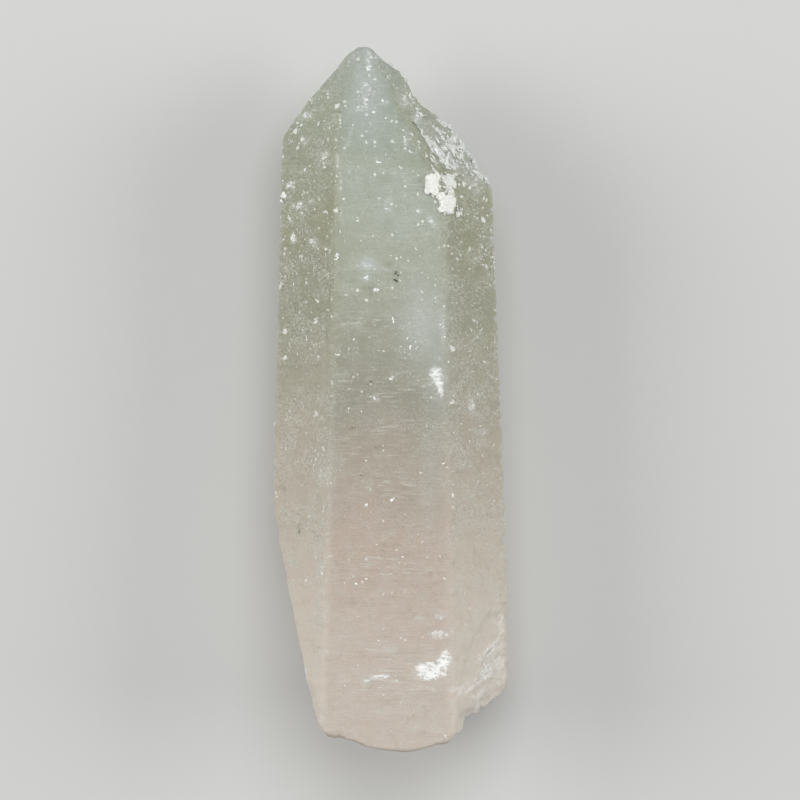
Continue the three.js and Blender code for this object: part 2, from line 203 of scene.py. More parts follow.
class Graph:
    """The nodes of one material."""

    def __init__(self, name: str) -> None:
        """Makes an empty material of that name."""
        self.material = bpy.data.materials.new(name)
        self.material.use_nodes = True
        self.tree = self.material.node_tree
        self.tree.nodes.clear()

    def node(self, kind: str, settings: dict, inputs: dict) -> bpy.types.Node:
        """Adds one node.

        Args:
            kind: The node's type.
            settings: Its own settings, with a ramp's stops under "stops". They are set first.
            inputs: Values or links by the name or number of the socket.

        Returns:
            The node.
        """
        made = self.tree.nodes.new(kind)
        for name, value in settings.items():
            if name == "stops":
                self._set_stops(made.color_ramp, value)
            else:
                setattr(made, name, value)
        for name, value in inputs.items():
            source = value.socket if isinstance(value, Value) else value
            if isinstance(source, bpy.types.NodeSocket):
                self.tree.links.new(source, made.inputs[name])
            else:
                made.inputs[name].default_value = source
        return made

    @staticmethod
    def _set_stops(ramp: bpy.types.ColorRamp, stops: Stops) -> None:
        """Gives a ramp its stops."""
        while len(ramp.elements) < len(stops):
            ramp.elements.new(0.5)
        for element, (place, colour) in zip(ramp.elements, stops):
            element.position = place
            element.color = (*colour, 1.0)

    def place(self) -> bpy.types.NodeSocket:
        """The place on the object in millimetres, measured from the crystal's long axis."""
        inputs = {
            "Vector": self.node("ShaderNodeTexCoord", {}, {}).outputs["Object"],
            "Location": (-AXIS_SHIFT[0], -AXIS_SHIFT[1], -AXIS_HEIGHT),
            "Scale": (1.0 / MM, 1.0 / MM, 1.0 / MM),
        }
        return self.node("ShaderNodeMapping", {}, inputs).outputs[0]

    def parts(self, vector: bpy.types.NodeSocket) -> tuple[Value, Value, Value]:
        """The three parts of a vector."""
        made = self.node("ShaderNodeSeparateXYZ", {}, {"Vector": vector})
        return tuple(Value(self, each) for each in made.outputs)

    def attribute(self, name: str) -> Value:
        """A number that the mesh carries at each of its points."""
        made = self.node("ShaderNodeAttribute", {"attribute_name": name}, {})
        return Value(self, made.outputs["Fac"])

    def noise(
        self,
        vector: bpy.types.NodeSocket,
        scale: float,
        detail: float = 2.0,
        stretch: Colour = (1.0, 1.0, 1.0),
        shift: float = 0.0,
        roughness: float = 0.5,
    ) -> Value:
        """Cloudy chance values.

        Args:
            vector: The place in millimetres.
            scale: Features to a millimetre.
            detail: How many finer layers are added.
            stretch: Further features to a millimetre along each axis.
            shift: Moves the field, so that two of one scale differ.
            roughness: How strong the finer layers are.

        Returns:
            Values around 0.5.
        """
        moves = {"Vector": vector, "Scale": stretch, "Location": (shift, -shift, shift)}
        moved = self.node("ShaderNodeMapping", {}, moves).outputs[0]
        inputs = {"Vector": moved, "Scale": scale, "Detail": detail, "Roughness": roughness}
        return Value(self, self.node("ShaderNodeTexNoise", {}, inputs).outputs["Fac"])

    def flecks(
        self, vector: bpy.types.NodeSocket, scale: float, most: float, share: Value, shift: float
    ) -> Value:
        """Ragged specks of uneven size, most of them small.

        Args:
            vector: The place in millimetres.
            scale: How many could be in a millimetre.
            most: Half width of the largest, as a share of their distance.
            share: Makes them smaller and fewer where it is under 1.
            shift: Moves the field.

        Returns:
            1 on a speck and 0 elsewhere.
        """
        moves = {"Vector": vector, "Scale": ALIKE, "Location": (shift, shift, -shift)}
        flat = self.node("ShaderNodeMapping", {}, moves).outputs[0]
        stir = self.node("ShaderNodeTexNoise", {}, {"Vector": flat, "Scale": scale * 3.0})
        stirred = {0: stir.outputs["Color"], 1: (0.8 / scale,) * 3, 2: flat}
        moved = self.node("ShaderNodeVectorMath", {"operation": "MULTIPLY_ADD"}, stirred)
        cells = self.node("ShaderNodeTexVoronoi", {}, {"Vector": moved.outputs[0], "Scale": scale})
        chance, _, _ = self.parts(cells.outputs["Color"])
        size = (chance**6.0) * most * share
        return (size - Value(self, cells.outputs["Distance"])).rise(0.0, 0.05)

    def ramp(self, value: Value, stops: Stops) -> bpy.types.NodeSocket:
        """Turns a number into a colour."""
        made = self.node("ShaderNodeValToRGB", {"stops": stops}, {"Fac": value})
        return made.outputs["Color"]

    def mix(
        self,
        share: Value | float,
        first: bpy.types.NodeSocket | Colour,
        second: bpy.types.NodeSocket | Colour,
    ) -> bpy.types.NodeSocket:
        """Mixes two colours.

        Args:
            share: How much of the second there is.
            first: A colour, or a socket that gives one.
            second: The other.

        Returns:
            The mixed colour.
        """
        first, second = (
            (*each, 1.0) if isinstance(each, tuple) else each for each in (first, second)
        )
        inputs = {0: share, 6: first, 7: second}
        return self.node("ShaderNodeMix", {"data_type": "RGBA"}, inputs).outputs[2]

    def bump(
        self, height: Value, depth: float, strength: float, under: bpy.types.NodeSocket | None
    ) -> bpy.types.NodeSocket:
        """Adds relief that is too fine for the mesh.

        Args:
            height: The relief, from 0 to 1.
            depth: What a height of 1 stands for, in millimetres.
            strength: How much of it shows.
            under: The normal of coarser relief below it, or None.

        Returns:
            The normal.
        """
        inputs = {"Height": height, "Distance": depth * MM, "Strength": strength}
        if under is not None:
            inputs["Normal"] = under
        return self.node("ShaderNodeBump", {}, inputs).outputs[0]

    def finish(
        self, surface: bpy.types.NodeSocket, volume: bpy.types.NodeSocket | None = None
    ) -> bpy.types.Material:
        """Joins the shaders to the output and gives the material."""
        inputs = {"Surface": surface} if volume is None else {"Surface": surface, "Volume": volume}
        self.node("ShaderNodeOutputMaterial", {}, inputs)
        return self.material


@dataclass(frozen=True)
class Ground:
    """What every layer of the quartz's finish starts from, at each place of the surface.

    share runs from 0 at the foot to 1 at the tip, and rough_side is 1 on the frosted sides.
    """

    graph: Graph
    place: bpy.types.NodeSocket
    share: Value
    on_front: Value
    rough_side: Value
    grit: Value
    lines: Value


@dataclass(frozen=True)
class QuartzFinish:
    """Translucent quartz: clear enough to glow, with faces frosted by growth and wear."""

    # Both ramps run paler and warmer towards the foot (share near 0): painted light shining through
    # the foot from behind. The green towards the tip is the quartz's own colour.
    front: Stops = (
        (0.0, (0.72, 0.62, 0.54)),
        (0.13, (0.71, 0.60, 0.52)),
        (0.3, (0.63, 0.51, 0.42)),
        (0.5, (0.40, 0.38, 0.295)),
        (0.66, (0.47, 0.49, 0.38)),
        (0.8, (0.50, 0.55, 0.45)),
        (0.9, (0.48, 0.54, 0.46)),
        (1.0, (0.52, 0.59, 0.55)),
    )
    sides: Stops = (
        (0.0, (0.86, 0.77, 0.68)),
        (0.2, (0.82, 0.72, 0.62)),
        (0.42, (0.62, 0.55, 0.45)),
        (0.62, (0.43, 0.43, 0.31)),
        (0.78, (0.42, 0.43, 0.29)),
        (0.9, (0.45, 0.48, 0.36)),
        (1.0, (0.48, 0.54, 0.47)),
    )
    frost: Colour = (0.80, 0.81, 0.75)
    white: Colour = (0.98, 0.985, 0.97)
    shade: Colour = (0.22, 0.21, 0.15)
    cloud: Colour = (0.66, 0.69, 0.61)
    murk: Colour = (0.28, 0.28, 0.19)
    stain: Colour = (0.30, 0.31, 0.16)
    # Painted sheen; the same tint also gives a few real whitish smudges.
    painted_sheen_and_smudge_tint: Colour = (0.63, 0.68, 0.66)
    # Painted rim light along the side edges of the outline.
    painted_rim_light: Colour = (0.66, 0.66, 0.58)
    # Haze round the white marks: real round the white patches, painted round the painted highlights
    # among them.
    haze: Colour = (0.80, 0.83, 0.81)
    broken_foot: Colour = (0.88, 0.82, 0.75)
    broken_tip: Colour = (0.64, 0.65, 0.59)
    inside: Colour = (0.80, 0.88, 0.78)
    absorption: float = 25.0
    clear: float = 0.3
    glow: float = 0.4
    glow_reach: float = 1.2  # millimetres
    refraction: float = QUARTZ_REFRACTION

    def build(self) -> bpy.types.Material:
        """Makes the material.

        Returns:
            The material for the crystal.
        """
        graph = Graph("green_quartz")
        place = graph.place()
        _, along, _ = graph.parts(place)
        on_front, broken = graph.attribute("front"), graph.attribute("broken")
        ground = Ground(
            graph=graph,
            place=place,
            share=(along + HALF_LENGTH) / LENGTH,
            on_front=on_front,
            rough_side=1.0 - on_front * 0.6,
            grit=graph.noise(place, 5.0, 3.0, ALIKE, 0.0, 0.85),
            lines=graph.noise(place, 1.0, 3.0, (0.6, 8.5, 0.2), 12.0, 0.7),
        )
        crackle = graph.noise(place, 1.5, 3.0, shift=21.0, roughness=0.8)
        colour = self._lined(ground, self._frosted(ground, self._body(ground)))
        colour, white = self._whites_and_highlights(ground, colour)
        torn = (broken * crackle.rise(0.34, 0.56) * 0.9).held()
        torn_colour = graph.mix(ground.share.rise(0.3, 0.6), self.broken_foot, self.broken_tip)
        colour = graph.mix(torn, colour, torn_colour)

        normal = graph.bump(ground.lines, 0.05, 0.3, None)
        normal = graph.bump(ground.grit * ground.rough_side, 0.1, 0.6, normal)
        normal = graph.bump(crackle * broken, 0.35, 0.8, normal)
        roughness = 0.38 + ground.rough_side * 0.12 + broken * 0.1 - white * 0.1
        quartz = {
            "Base Color": colour,
            "Roughness": (roughness + (ground.grit - 0.5) * 0.5).held(),
            "Normal": normal,
            "IOR": self.refraction,
            "Transmission Weight": self.clear,
            "Subsurface Weight": self.glow,
            "Subsurface Radius": (1.0, 1.0, 0.85),
            "Subsurface Scale": self.glow_reach * MM,
        }
        # This white shader draws the white marks and, with them, the painted highlights, glint and
        # sparkle.
        milk = {"Base Color": (*self.white, 1.0), "Roughness": 0.35, "Normal": normal}
        shaders = [graph.node(PRINCIPLED, {}, inputs).outputs[0] for inputs in (quartz, milk)]
        mixed = graph.node(
            "ShaderNodeMixShader", {}, {0: white * 0.9, 1: shaders[0], 2: shaders[1]}
        )
        depths = {"Color": (*self.inside, 1.0), "Density": self.absorption}
        inside = graph.node("ShaderNodeVolumeAbsorption", {}, depths)
        return graph.finish(mixed.outputs[0], inside.outputs[0])

    def _body(self, ground: Ground) -> bpy.types.NodeSocket:
        """The quartz's own green, with painted light: a paler, warmer foot lit from behind, painted
        sheen and painted rim light.

        Args:
            ground: What the finish starts from.

        Returns:
            The colour.
        """
        graph, place = ground.graph, ground.place
        wander = ground.share + (graph.noise(place, 0.16, 3.0) - 0.5) * 0.14
        sides, front = graph.ramp(wander, self.sides), graph.ramp(wander, self.front)
        colour = graph.mix(ground.on_front, sides, front)
        mottle = graph.noise(place, 0.9, 3.0, ALIKE, 8.0, 0.75)
        stained = graph.attribute("stained") * (mottle.rise(0.3, 0.6) * 0.6 + 0.2)
        for share, layer in (
            (mottle.rise(0.5, 0.74) * 0.3, self.cloud),
            (mottle.rise(0.5, 0.26) * 0.2, self.murk),
            (stained, self.stain),
            # Painted sheen, with a few real whitish smudges in the same tint.
            (graph.attribute("sheen") * 0.55, self.painted_sheen_and_smudge_tint),
            # Painted rim light along the side edges.
            (graph.attribute("rim") * 0.4, self.painted_rim_light),
        ):
            colour = graph.mix(share, colour, layer)
        return colour

    def _frosted(self, ground: Ground, colour: bpy.types.NodeSocket) -> bpy.types.NodeSocket:
        """Adds the fine grain of the frosted faces.

        Args:
            ground: What the finish starts from.
            colour: The colour under it.

        Returns:
            The colour.
        """
        graph, place, grit = ground.graph, ground.place, ground.grit
        where = graph.noise(place, 0.5, 2.0, ALIKE, 51.0).rise(0.36, 0.62)
        strong = ground.rough_side * (where * 0.6 + 0.4)
        colour = graph.mix((grit.rise(0.5, 0.64) * strong * 0.7).held(), colour, self.frost)
        dark = grit.rise(0.5, 0.36) * strong * (ground.share.rise(0.1, 0.5) * 0.32 + 0.08)
        colour = graph.mix(dark.held(), colour, self.shade)
        ridged = (graph.noise(place, 2.2, 3.0, ALIKE, 41.0, 0.65) - 0.5).size().rise(0.03, 0.0)
        return graph.mix((ridged * where * ground.rough_side * 0.75).held(), colour, self.frost)

    def _lined(self, ground: Ground, colour: bpy.types.NodeSocket) -> bpy.types.NodeSocket:
        """Adds the fine growth lines across the faces.

        Args:
            ground: What the finish starts from.
            colour: The colour under them.

        Returns:
            The colour.
        """
        graph, place, lines = ground.graph, ground.place, ground.lines
        where = graph.noise(place, 0.33, 2.0, (0.6, 1.7, 0.2), 55.0).rise(0.48, 0.64)
        broken_up = graph.noise(place, 1.6, 3.0, (0.7, 1.4, 0.3), 71.0).rise(0.43, 0.56)
        combed = graph.attribute("combed") * 0.62 + where * 0.22 + 0.08
        ridges = lines.rise(0.52, 0.62) * combed * broken_up * (0.25 + ground.on_front * 0.75)
        furrows = lines.rise(0.47, 0.34) * combed * ground.on_front * 0.28
        colour = graph.mix(ridges.held(), colour, self.frost)
        return graph.mix(furrows.held(), colour, self.shade)

    @staticmethod
    def _struck(ground: Ground) -> Value:
        """How white the pale strokes across the broken foot make a place."""
        graph = ground.graph
        slant = {"Vector": ground.place, "Rotation": (0.0, 0.0, math.radians(-45))}
        turned = graph.node("ShaderNodeMapping", {}, slant).outputs[0]
        strokes = graph.noise(turned, 1.0, 3.0, (1.0, 6.5, 0.6), 33.0, 0.75)
        grain = graph.noise(ground.place, 5.0, 3.0, ALIKE, 35.0, 0.75).rise(0.36, 0.56)
        shown = (graph.attribute("struck") * ((strokes - 0.5) * 8.0 + 1.0)).rise(0.4, 1.1)
        return shown * (grain * 0.6 + 0.4)

    def _whites_and_highlights(
        self, ground: Ground, colour: bpy.types.NodeSocket
    ) -> tuple[bpy.types.NodeSocket, Value]:
        """Adds the haze round the white marks and painted highlights, and finds what is white.

        Args:
            ground: What the finish starts from.
            colour: The colour under them.

        Returns:
            The colour, and how white each place is: real white marks and strokes, painted
                highlights, the painted glint and partly painted sparkle.
        """
        graph, place = ground.graph, ground.place
        # White marks: partly real white patches, partly painted highlight streaks along the front
        # edges and on the tip.
        milky = graph.attribute("milky")
        ragged = graph.noise(place, 3.0, 4.0, (0.8, 1.7, 0.3), 77.0, 0.8) - 0.5
        haze = (milky * (ragged * 3.0 + 1.0)).rise(0.05, 0.95) * 0.6
        white = (milky * (ragged * 7.5 + 1.0)).rise(0.5, 1.05)
        spray = graph.noise(place, 3.2, 4.0, ALIKE, 91.0, 0.85) - 0.5
        # Painted glint: a bright reflection on the right front edge, painted white.
        gleam = (graph.attribute("gleam") * (spray * 5.0 + 1.0)).rise(0.25, 1.15)
        upper = ground.share.rise(0.35, 0.85) * 0.4 + 0.6
        # Small white flecks and specks: partly real white specks, partly painted sparkle of glints
        # on the frosted faces.
        flecks = graph.flecks(place, 1.15, 0.42, upper * ground.rough_side, 5.0)
        specks = graph.flecks(place, 2.8, 0.46, upper, 63.0)
        white = white + gleam + self._struck(ground) * 0.7 + flecks * 0.75 + specks * 0.6
        return graph.mix(haze, colour, self.haze), white.held()


@dataclass(frozen=True)
class MineralFinish:
    """A dull or sugary mineral that lies on the quartz."""

    name: str
    colour: Colour
    shade: Colour
    roughness: float
    clear: float = 0.0
    grain: float = 4.0
    relief: float = 0.08

    def build(self) -> bpy.types.Material:
        """Makes the material.

        Returns:
            The material for the mineral.
        """
        graph = Graph(self.name)
        place = graph.place()
        cloud = graph.noise(place, self.grain, 3.0, roughness=0.6)
        inputs = {
            "Base Color": graph.mix(cloud.rise(0.35, 0.65), self.shade, self.colour),
            "Roughness": (self.roughness + (cloud - 0.5) * 0.2).held(),
            "Normal": graph.bump(cloud, self.relief, 0.6, None),
            "IOR": QUARTZ_REFRACTION,
            "Transmission Weight": self.clear,
        }
        return graph.finish(graph.node(PRINCIPLED, {}, inputs).outputs[0])


@dataclass(frozen=True)
class FloorFinish:
    """Plain pale paper."""

    colour: Colour = (0.62, 0.62, 0.61)
    unevenness: float = 0.03
    roughness: float = 0.9

    def build(self) -> bpy.types.Material:
        """Makes the material.

        Returns:
            The material for the floor.
        """
        graph = Graph("pale_floor")
        cloud = graph.noise(graph.place(), 0.02, 2.0)
        lighter = tuple(part * (1.0 + self.unevenness) for part in self.colour)
        paper = graph.mix(cloud, self.colour, lighter)
        inputs = {"Base Color": paper, "Roughness": self.roughness}
        return graph.finish(graph.node(PRINCIPLED, {}, inputs).outputs[0])


@dataclass(frozen=True)
class Plane:
    """A flat face: everything of the crystal lies on the side away from its normal."""

    normal: tuple[float, float, float]
    offset: float

    @classmethod
    def of_side(cls, side: Side, at_shoulder: float, at_foot: float) -> "Plane":
        """The plane of a long face.

        Args:
            side: The side of the prism.
            at_shoulder: Its distance from the long axis at the shoulder, in millimetres.
            at_foot: The same at the foot.

        Returns:
            The plane.
        """
        azimuth = math.radians(side.value)
        out = Vector((math.cos(azimuth), 0.0, math.sin(azimuth)))
        taper = (at_foot - at_shoulder) / (SHOULDER_Y - FOOT_Y)
        normal = (out + Vector((0.0, taper, 0.0))).normalized()
        return cls(tuple(normal), normal.dot(out * at_shoulder + Vector((0.0, SHOULDER_Y, 0.0))))

    @classmethod
    def of_tip(cls, azimuth: float, lean: float, meets_axis: float) -> "Plane":
        """The plane of a tip face.

        Args:
            azimuth: The way that it looks about the long axis, in degrees.
            lean: Degrees between its normal and the long axis.
            meets_axis: Y where it crosses the long axis.

        Returns:
            The plane.
        """
        turn, tip = math.radians(azimuth), math.radians(lean)
        normal = (math.cos(turn) * math.sin(tip), math.cos(tip), math.sin(turn) * math.sin(tip))
        return cls(normal, normal[1] * meets_axis)

    def depth(self, points: np.ndarray) -> np.ndarray:
        """How deep points lie under the plane, in millimetres."""
        return self.offset - points @ np.array(self.normal)


@dataclass(frozen=True)
class Patch:
    """A round or long patch of the surface, as the photograph shows it."""

    pixel: tuple[float, float]
    reach: tuple[float, float]
    strength: float
    turn: float = 0.0

    def at(self, pixels: np.ndarray) -> np.ndarray:
        """How strongly the patch shows.

        Args:
            pixels: Where the camera sees the places.

        Returns:
            Values from 0 to the patch's strength.
        """
        turn = math.radians(self.turn)
        right, up = pixels[:, 0] - self.pixel[0], self.pixel[1] - pixels[:, 1]
        u = (right * math.cos(turn) + up * math.sin(turn)) / self.reach[0]
        v = (up * math.cos(turn) - right * math.sin(turn)) / self.reach[1]
        return self.strength * np.exp(-(u * u + v * v))


def patches_of(*rows: tuple[float, ...]) -> tuple[Patch, ...]:
    """Patches from rows of: pixel across and down, reach along and across, strength, turn."""
    return tuple(Patch(row[:2], row[2:4], *row[4:]) for row in rows)


@dataclass
class Crystal:
    """The quartz crystal itself, from the CAD solid's mesh."""

    voxel: float = 0.204
    soft_rounds: int = 10
    notch_seed: int = 4
    soft_step: Patch = Patch((429, 141), (14, 30), 1.0, 32)
    groove: Patch = Patch((418, 130), (16, 7), 0.3, -58)
    spare: float = 0.25  # how far the relief may reach past the CAD model's box
    quick_coarseness: float = 1.8
    edge_blend: float = 0.7  # from an edge to where a face has all of its own finish
    rim_width: float = 0.45
    worn_width: float = 0.6
    worn_up_to: float = 24.0
    wear: float = 0.8
    tip_wear: float = 0.25
    foot_break: tuple[float, float] = (-19.0, -22.0)
    shoulder_middle: tuple[float, float] = (5.4, 20.6)
    shoulder_reach: tuple[float, float] = (3.7, 1.7)
    shoulder_turn: float = -50.0
    unevenness: float = 0.035
    step_height: float = 0.05
    break_depth: float = 0.4
    break_rise: float = 0.08
    between_notches: float = 0.05  # how far the edge stands out there
    notched: tuple[tuple[float, float, float, float], ...] = (
        (1.0, -21.0, 17.0, 0.26),
        (-1.0, -9.0, 17.0, 0.1),
    )  # side, first and last place along the axis, and depth of each row of notches
    # White marks: real white patches and fractures, and painted highlight streaks along the front
    # edges, on the tip and on the right front edge.
    patches: tuple[Patch, ...] = patches_of(
        (367, 264, 11, 10, 0.45), (366, 278, 6, 5, 0.45), (386, 269, 8, 3, 0.5, -10),
        (443, 330, 5, 26, 0.5), (420, 325, 24, 40, 0.36), (431, 673, 16, 7, 1.35, 6),
        (421, 668, 7, 6, 1.0), (430, 667, 9, 6, 1.0), (444, 661, 8, 11, 1.15, -20),
        (436, 668, 26, 20, 0.45), (380, 677, 18, 3.5, 0.8, 4), (366, 681, 8, 4, 0.6),
        (342, 681, 8, 4, 0.45), (441, 635, 13, 5.5, 0.72), (441, 616, 9, 3.5, 0.7),
        (419, 618, 8, 2.5, 0.65), (432, 690, 12, 4, 0.5, -25), (452, 690, 12, 4, 0.5, 20),
        (458, 640, 10, 10, 0.35), (369, 63, 4, 16, 0.72), (376, 58, 3, 9, 0.5),
        (366, 92, 13, 24, 0.48), (349, 138, 2.5, 24, 0.5, -18), (362, 108, 16, 7, 0.5, 20),
        (384, 102, 7, 5, 0.55, -20), (324, 156, 6, 9, 0.6, -30), (319, 170, 4, 12, 0.45),
        (337, 160, 3, 12, 0.6), (340, 184, 3, 18, 0.52), (341, 214, 3, 14, 0.45),
        (320, 157, 14, 4, 0.5, -8), (308, 116, 6, 5, 0.7), (304, 141, 4, 7, 0.5),
        (293, 239, 4, 6, 0.9), (313, 242, 5, 5, 0.75), (291, 221, 4, 6, 0.55),
        (290, 184, 7, 4, 0.75, 30), (300, 205, 6, 5, 0.75), (311, 202, 5, 4, 0.6, 40),
        (330, 250, 3, 6, 0.5), (285, 255, 3, 4, 0.5), (388, 205, 6, 9, 0.6),
        (419, 211, 5, 4, 0.6), (432, 222, 4, 10, 0.65, 35), (471, 406, 6, 9, 0.7),
        (483, 432, 6, 6, 0.62), (474, 430, 4, 3, 0.5), (321, 475, 8, 12, 0.4),
        (322, 567, 3, 10, 0.5), (377, 399, 7, 4, 0.4), (405, 102, 8, 14, 0.5, 35),
        (416, 117, 7, 7, 0.6), (408, 138, 9, 12, 0.42), (475, 185, 16, 13, 0.5, -35),
        (416, 727, 7, 6, 0.42), (433, 729, 5, 5, 0.42),
    )
    strokes: tuple[Patch, ...] = patches_of(
        (497, 604, 12, 9, 0.6, 55), (502, 625, 8, 20, 0.7, -15), (494, 647, 26, 7, 0.85, 42),
        (487, 671, 28, 8, 0.9, 38), (500, 668, 10, 13, 0.8, -30), (466, 688, 16, 8, 0.75, 30),
        (478, 694, 14, 9, 0.6, 30),
    )
    # Painted sheen on the tip and along the front edges, except the first two, which are real
    # whitish smudges.
    sheens: tuple[Patch, ...] = patches_of(
        (368, 264, 10, 9, 1.4), (366, 278, 6, 6, 1.2), (366, 105, 20, 48, 1.0, 8),
        (424, 322, 26, 50, 0.9), (438, 370, 14, 50, 0.8), (405, 215, 34, 32, 0.45),
        (330, 470, 8, 60, 0.35), (432, 470, 14, 70, 0.4), (320, 590, 6, 60, 0.2),
    )
    combed: tuple[Patch, ...] = patches_of(
        (386, 566, 75, 17, 1.0), (372, 319, 55, 8, 0.8), (395, 392, 65, 16, 0.8),
        (395, 440, 60, 22, 0.5), (398, 480, 60, 12, 0.5), (390, 645, 60, 16, 0.9),
        (395, 690, 60, 25, 0.7), (400, 610, 60, 12, 0.5), (395, 175, 50, 8, 0.5),
    )
    # Painted glint: a bright reflection on the right front edge.
    painted_glints: tuple[Patch, ...] = patches_of(
        (436, 374, 8, 8, 1.05), (439, 382, 6, 7, 0.95), (441, 390, 4, 8, 1.0),
        (427, 385, 10, 4, 0.5, 20), (440, 382, 14, 22, 0.42),
    )
    stains: tuple[Patch, ...] = patches_of(
        (311, 297, 9, 8, 0.8), (302, 292, 5, 5, 0.5), (299, 528, 3, 7, 0.8),
        (431, 152, 5, 10, 0.7, -20), (468, 194, 14, 6, 0.4, 40), (330, 300, 4, 30, 0.3),
        (460, 240, 8, 24, 0.4),
    )
    nudges: tuple[Patch, ...] = patches_of(
        (401, 77, 16, 13, 0.5, -50), (348, 55, 12, 7, 0.22, 45), (318, 90, 38, 14, 0.22, 50),
        (366, 47, 9, 7, 0.2), (430, 116, 9, 6, 0.25, -50), (471, 146, 11, 8, -0.55, -50),
        (459, 131, 6, 5, -0.4, -50), (484, 168, 7, 5, -0.25, -50), (338, 743, 20, 11, 0.5),
        (362, 749, 16, 9, 0.25), (442, 748, 20, 10, 0.4), (474, 722, 8, 10, 0.4, 50),
        (505, 665, 22, 8, 0.2, -90),
    )
    undercuts: tuple[Patch, ...] = patches_of(
        (400, 748, 75, 14, 0.5), (469, 728, 14, 12, 0.65, 50), (486, 708, 14, 10, 0.45, 50),
    )

    def __post_init__(self) -> None:
        """Sets the faces out, as the CAD model has them."""
        self.long_planes = {
            Side.UPPER: Plane.of_side(Side.UPPER, 7.55, 8.45),
            Side.UPPER_LEFT: Plane.of_side(Side.UPPER_LEFT, 7.67, 9.36),
            Side.LOWER_LEFT: Plane.of_side(Side.LOWER_LEFT, 8.42, 8.8),
            Side.RESTING: Plane.of_side(Side.RESTING, 7.9, 7.9),
            Side.LOWER_RIGHT: Plane.of_side(Side.LOWER_RIGHT, 7.07, 9.1),
            Side.UPPER_RIGHT: Plane.of_side(Side.UPPER_RIGHT, 7.585, 8.75),
        }
        self.tip_planes = (
            Plane.of_tip(86, 54.5, 29.9),
            Plane.of_tip(144, 56, 32.8),
            Plane.of_tip(210, 54, 32.8),
            Plane.of_tip(270, 54, 28.7),
            Plane.of_tip(330, 54, 27.5),
            Plane.of_tip(28.5, 53, 27.4),
        )

    def build(self) -> bpy.types.Object:
        """Makes the crystal, with its fine relief and the marks that its finish reads.

        Returns:
            The finished piece.
        """
        mesh = self._evenly_meshed()
        count = len(mesh.vertices)
        points = np.empty(count * 3)
        mesh.vertices.foreach_get("co", points)
        points = points.reshape(-1, 3) / MM - np.array((*AXIS_SHIFT, AXIS_HEIGHT))
        normals = np.empty(count * 3)
        mesh.vertex_normals.foreach_get("vector", normals)
        normals = normals.reshape(-1, 3)
        marks = self._marks(points)
        softened = self._softened(mesh, points, marks)
        moved = softened + normals * self._relief(points, marks)[:, None]
        moved += self._nudged(points)
        placed = (moved + np.array((*AXIS_SHIFT, AXIS_HEIGHT))) * MM
        spare = np.array((self.spare, self.spare, 0.0)) * MM
        placed = np.clip(placed, np.array(CAD_BOX[0]) - spare, np.array(CAD_BOX[1]) + spare)
        mesh.vertices.foreach_set("co", placed.ravel())
        for name, values in marks.items():
            if name in ("soft", "free"):
                continue
            layer = mesh.attributes.new(name, "FLOAT", "POINT")
            layer.data.foreach_set("value", values.astype(np.float32))
        mesh.update()
        mesh.shade_smooth()
        piece = bpy.data.objects.new("crystal", mesh)
        bpy.context.scene.collection.objects.link(piece)
        mesh.materials.append(QuartzFinish().build())
        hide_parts("quartz_crystal")
        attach(piece, "root")
        LOG.info("%s: %d faces", piece.name, len(mesh.polygons))
        return piece

    def _evenly_meshed(self) -> bpy.types.Mesh:
        """Copies the CAD solid's mesh, merges it and lays an even mesh over it."""
        source = bmesh.new()
        source.from_mesh(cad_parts["quartz_crystal"].data)
        bmesh.ops.remove_doubles(source, verts=source.verts, dist=1e-6)
        copied = bpy.data.meshes.new("even")
        source.to_mesh(copied)
        source.free()
        holder = bpy.data.objects.new("even", copied)
        bpy.context.scene.collection.objects.link(holder)
        remesh = holder.modifiers.new("even", "REMESH")
        remesh.mode = "VOXEL"
        remesh.voxel_size = self.voxel * MM * 1.0
        shown = holder.evaluated_get(bpy.context.evaluated_depsgraph_get())
        mesh = bpy.data.meshes.new_from_object(shown)
        mesh.name = "crystal"
        bpy.data.objects.remove(holder)
        bpy.data.meshes.remove(copied)
        mesh.materials.clear()
        return mesh

    def _marks(self, points: np.ndarray) -> dict[str, np.ndarray]:
        """Works out what the finish needs to know about each point.

        Args:
            points: Places in millimetres from the long axis.

        Returns:
            By name: how much a point is on the upper faces, how near it is to a side edge (where
                rim light is painted), how much painted sheen and painted glint it gets, how broken,
                white-marked (with painted highlights), struck, combed and stained it is, how much
                it is worn soft, and how freely it may be moved.
        """
        planes = [*self.long_planes.values(), *self.tip_planes]
        depths = np.stack([plane.depth(points) for plane in planes])
        order = np.sort(np.abs(depths), axis=0)
        nearest = np.argmin(np.abs(depths), axis=0)
        upper = (nearest == 0) | (nearest == 6)
        inside = 0.5 + 0.5 * smooth_step(0.0, self.edge_blend, order[1])
        beside = 0.5 - 0.5 * smooth_step(0.0, self.edge_blend, np.abs(depths[0]))
        front = np.where(upper, inside, beside)
        sides = np.maximum(depths[[1, 5]].min(axis=0), depths[[2, 4]].min(axis=0))
        rim = np.exp(-((sides / self.rim_width) ** 2))
        beside_front = np.abs(depths[[1, 5, 7, 11]]).min(axis=0)
        to_front = np.maximum(np.abs(depths[[0, 6]]).min(axis=0), beside_front)
        soft = np.exp(-((to_front / self.worn_width) ** 2)) * (points[:, 1] < self.worn_up_to)
        soft = np.maximum(soft, self.tip_wear * smooth_step(27.0, 28.5, points[:, 1]))
        pixels = seen_at(points)
        soft_step = self.soft_step.at(pixels) * (points[:, 2] > 0)
        foot = smooth_step(0.15, 0.5, depths.min(axis=0))
        foot *= smooth_step(*self.foot_break, points[:, 1])
        shoulder = self._shoulder(points)
        shown = {
            "milky": self.patches,
            "sheen": self.sheens,
            "struck": self.strokes,
            "combed": self.combed,
            "stained": self.stains,
            "gleam": self.painted_glints,
        }
        marks = {
            name: np.max([patch.at(pixels) for patch in patches], axis=0) * (points[:, 2] > 0)
            for name, patches in shown.items()
        }
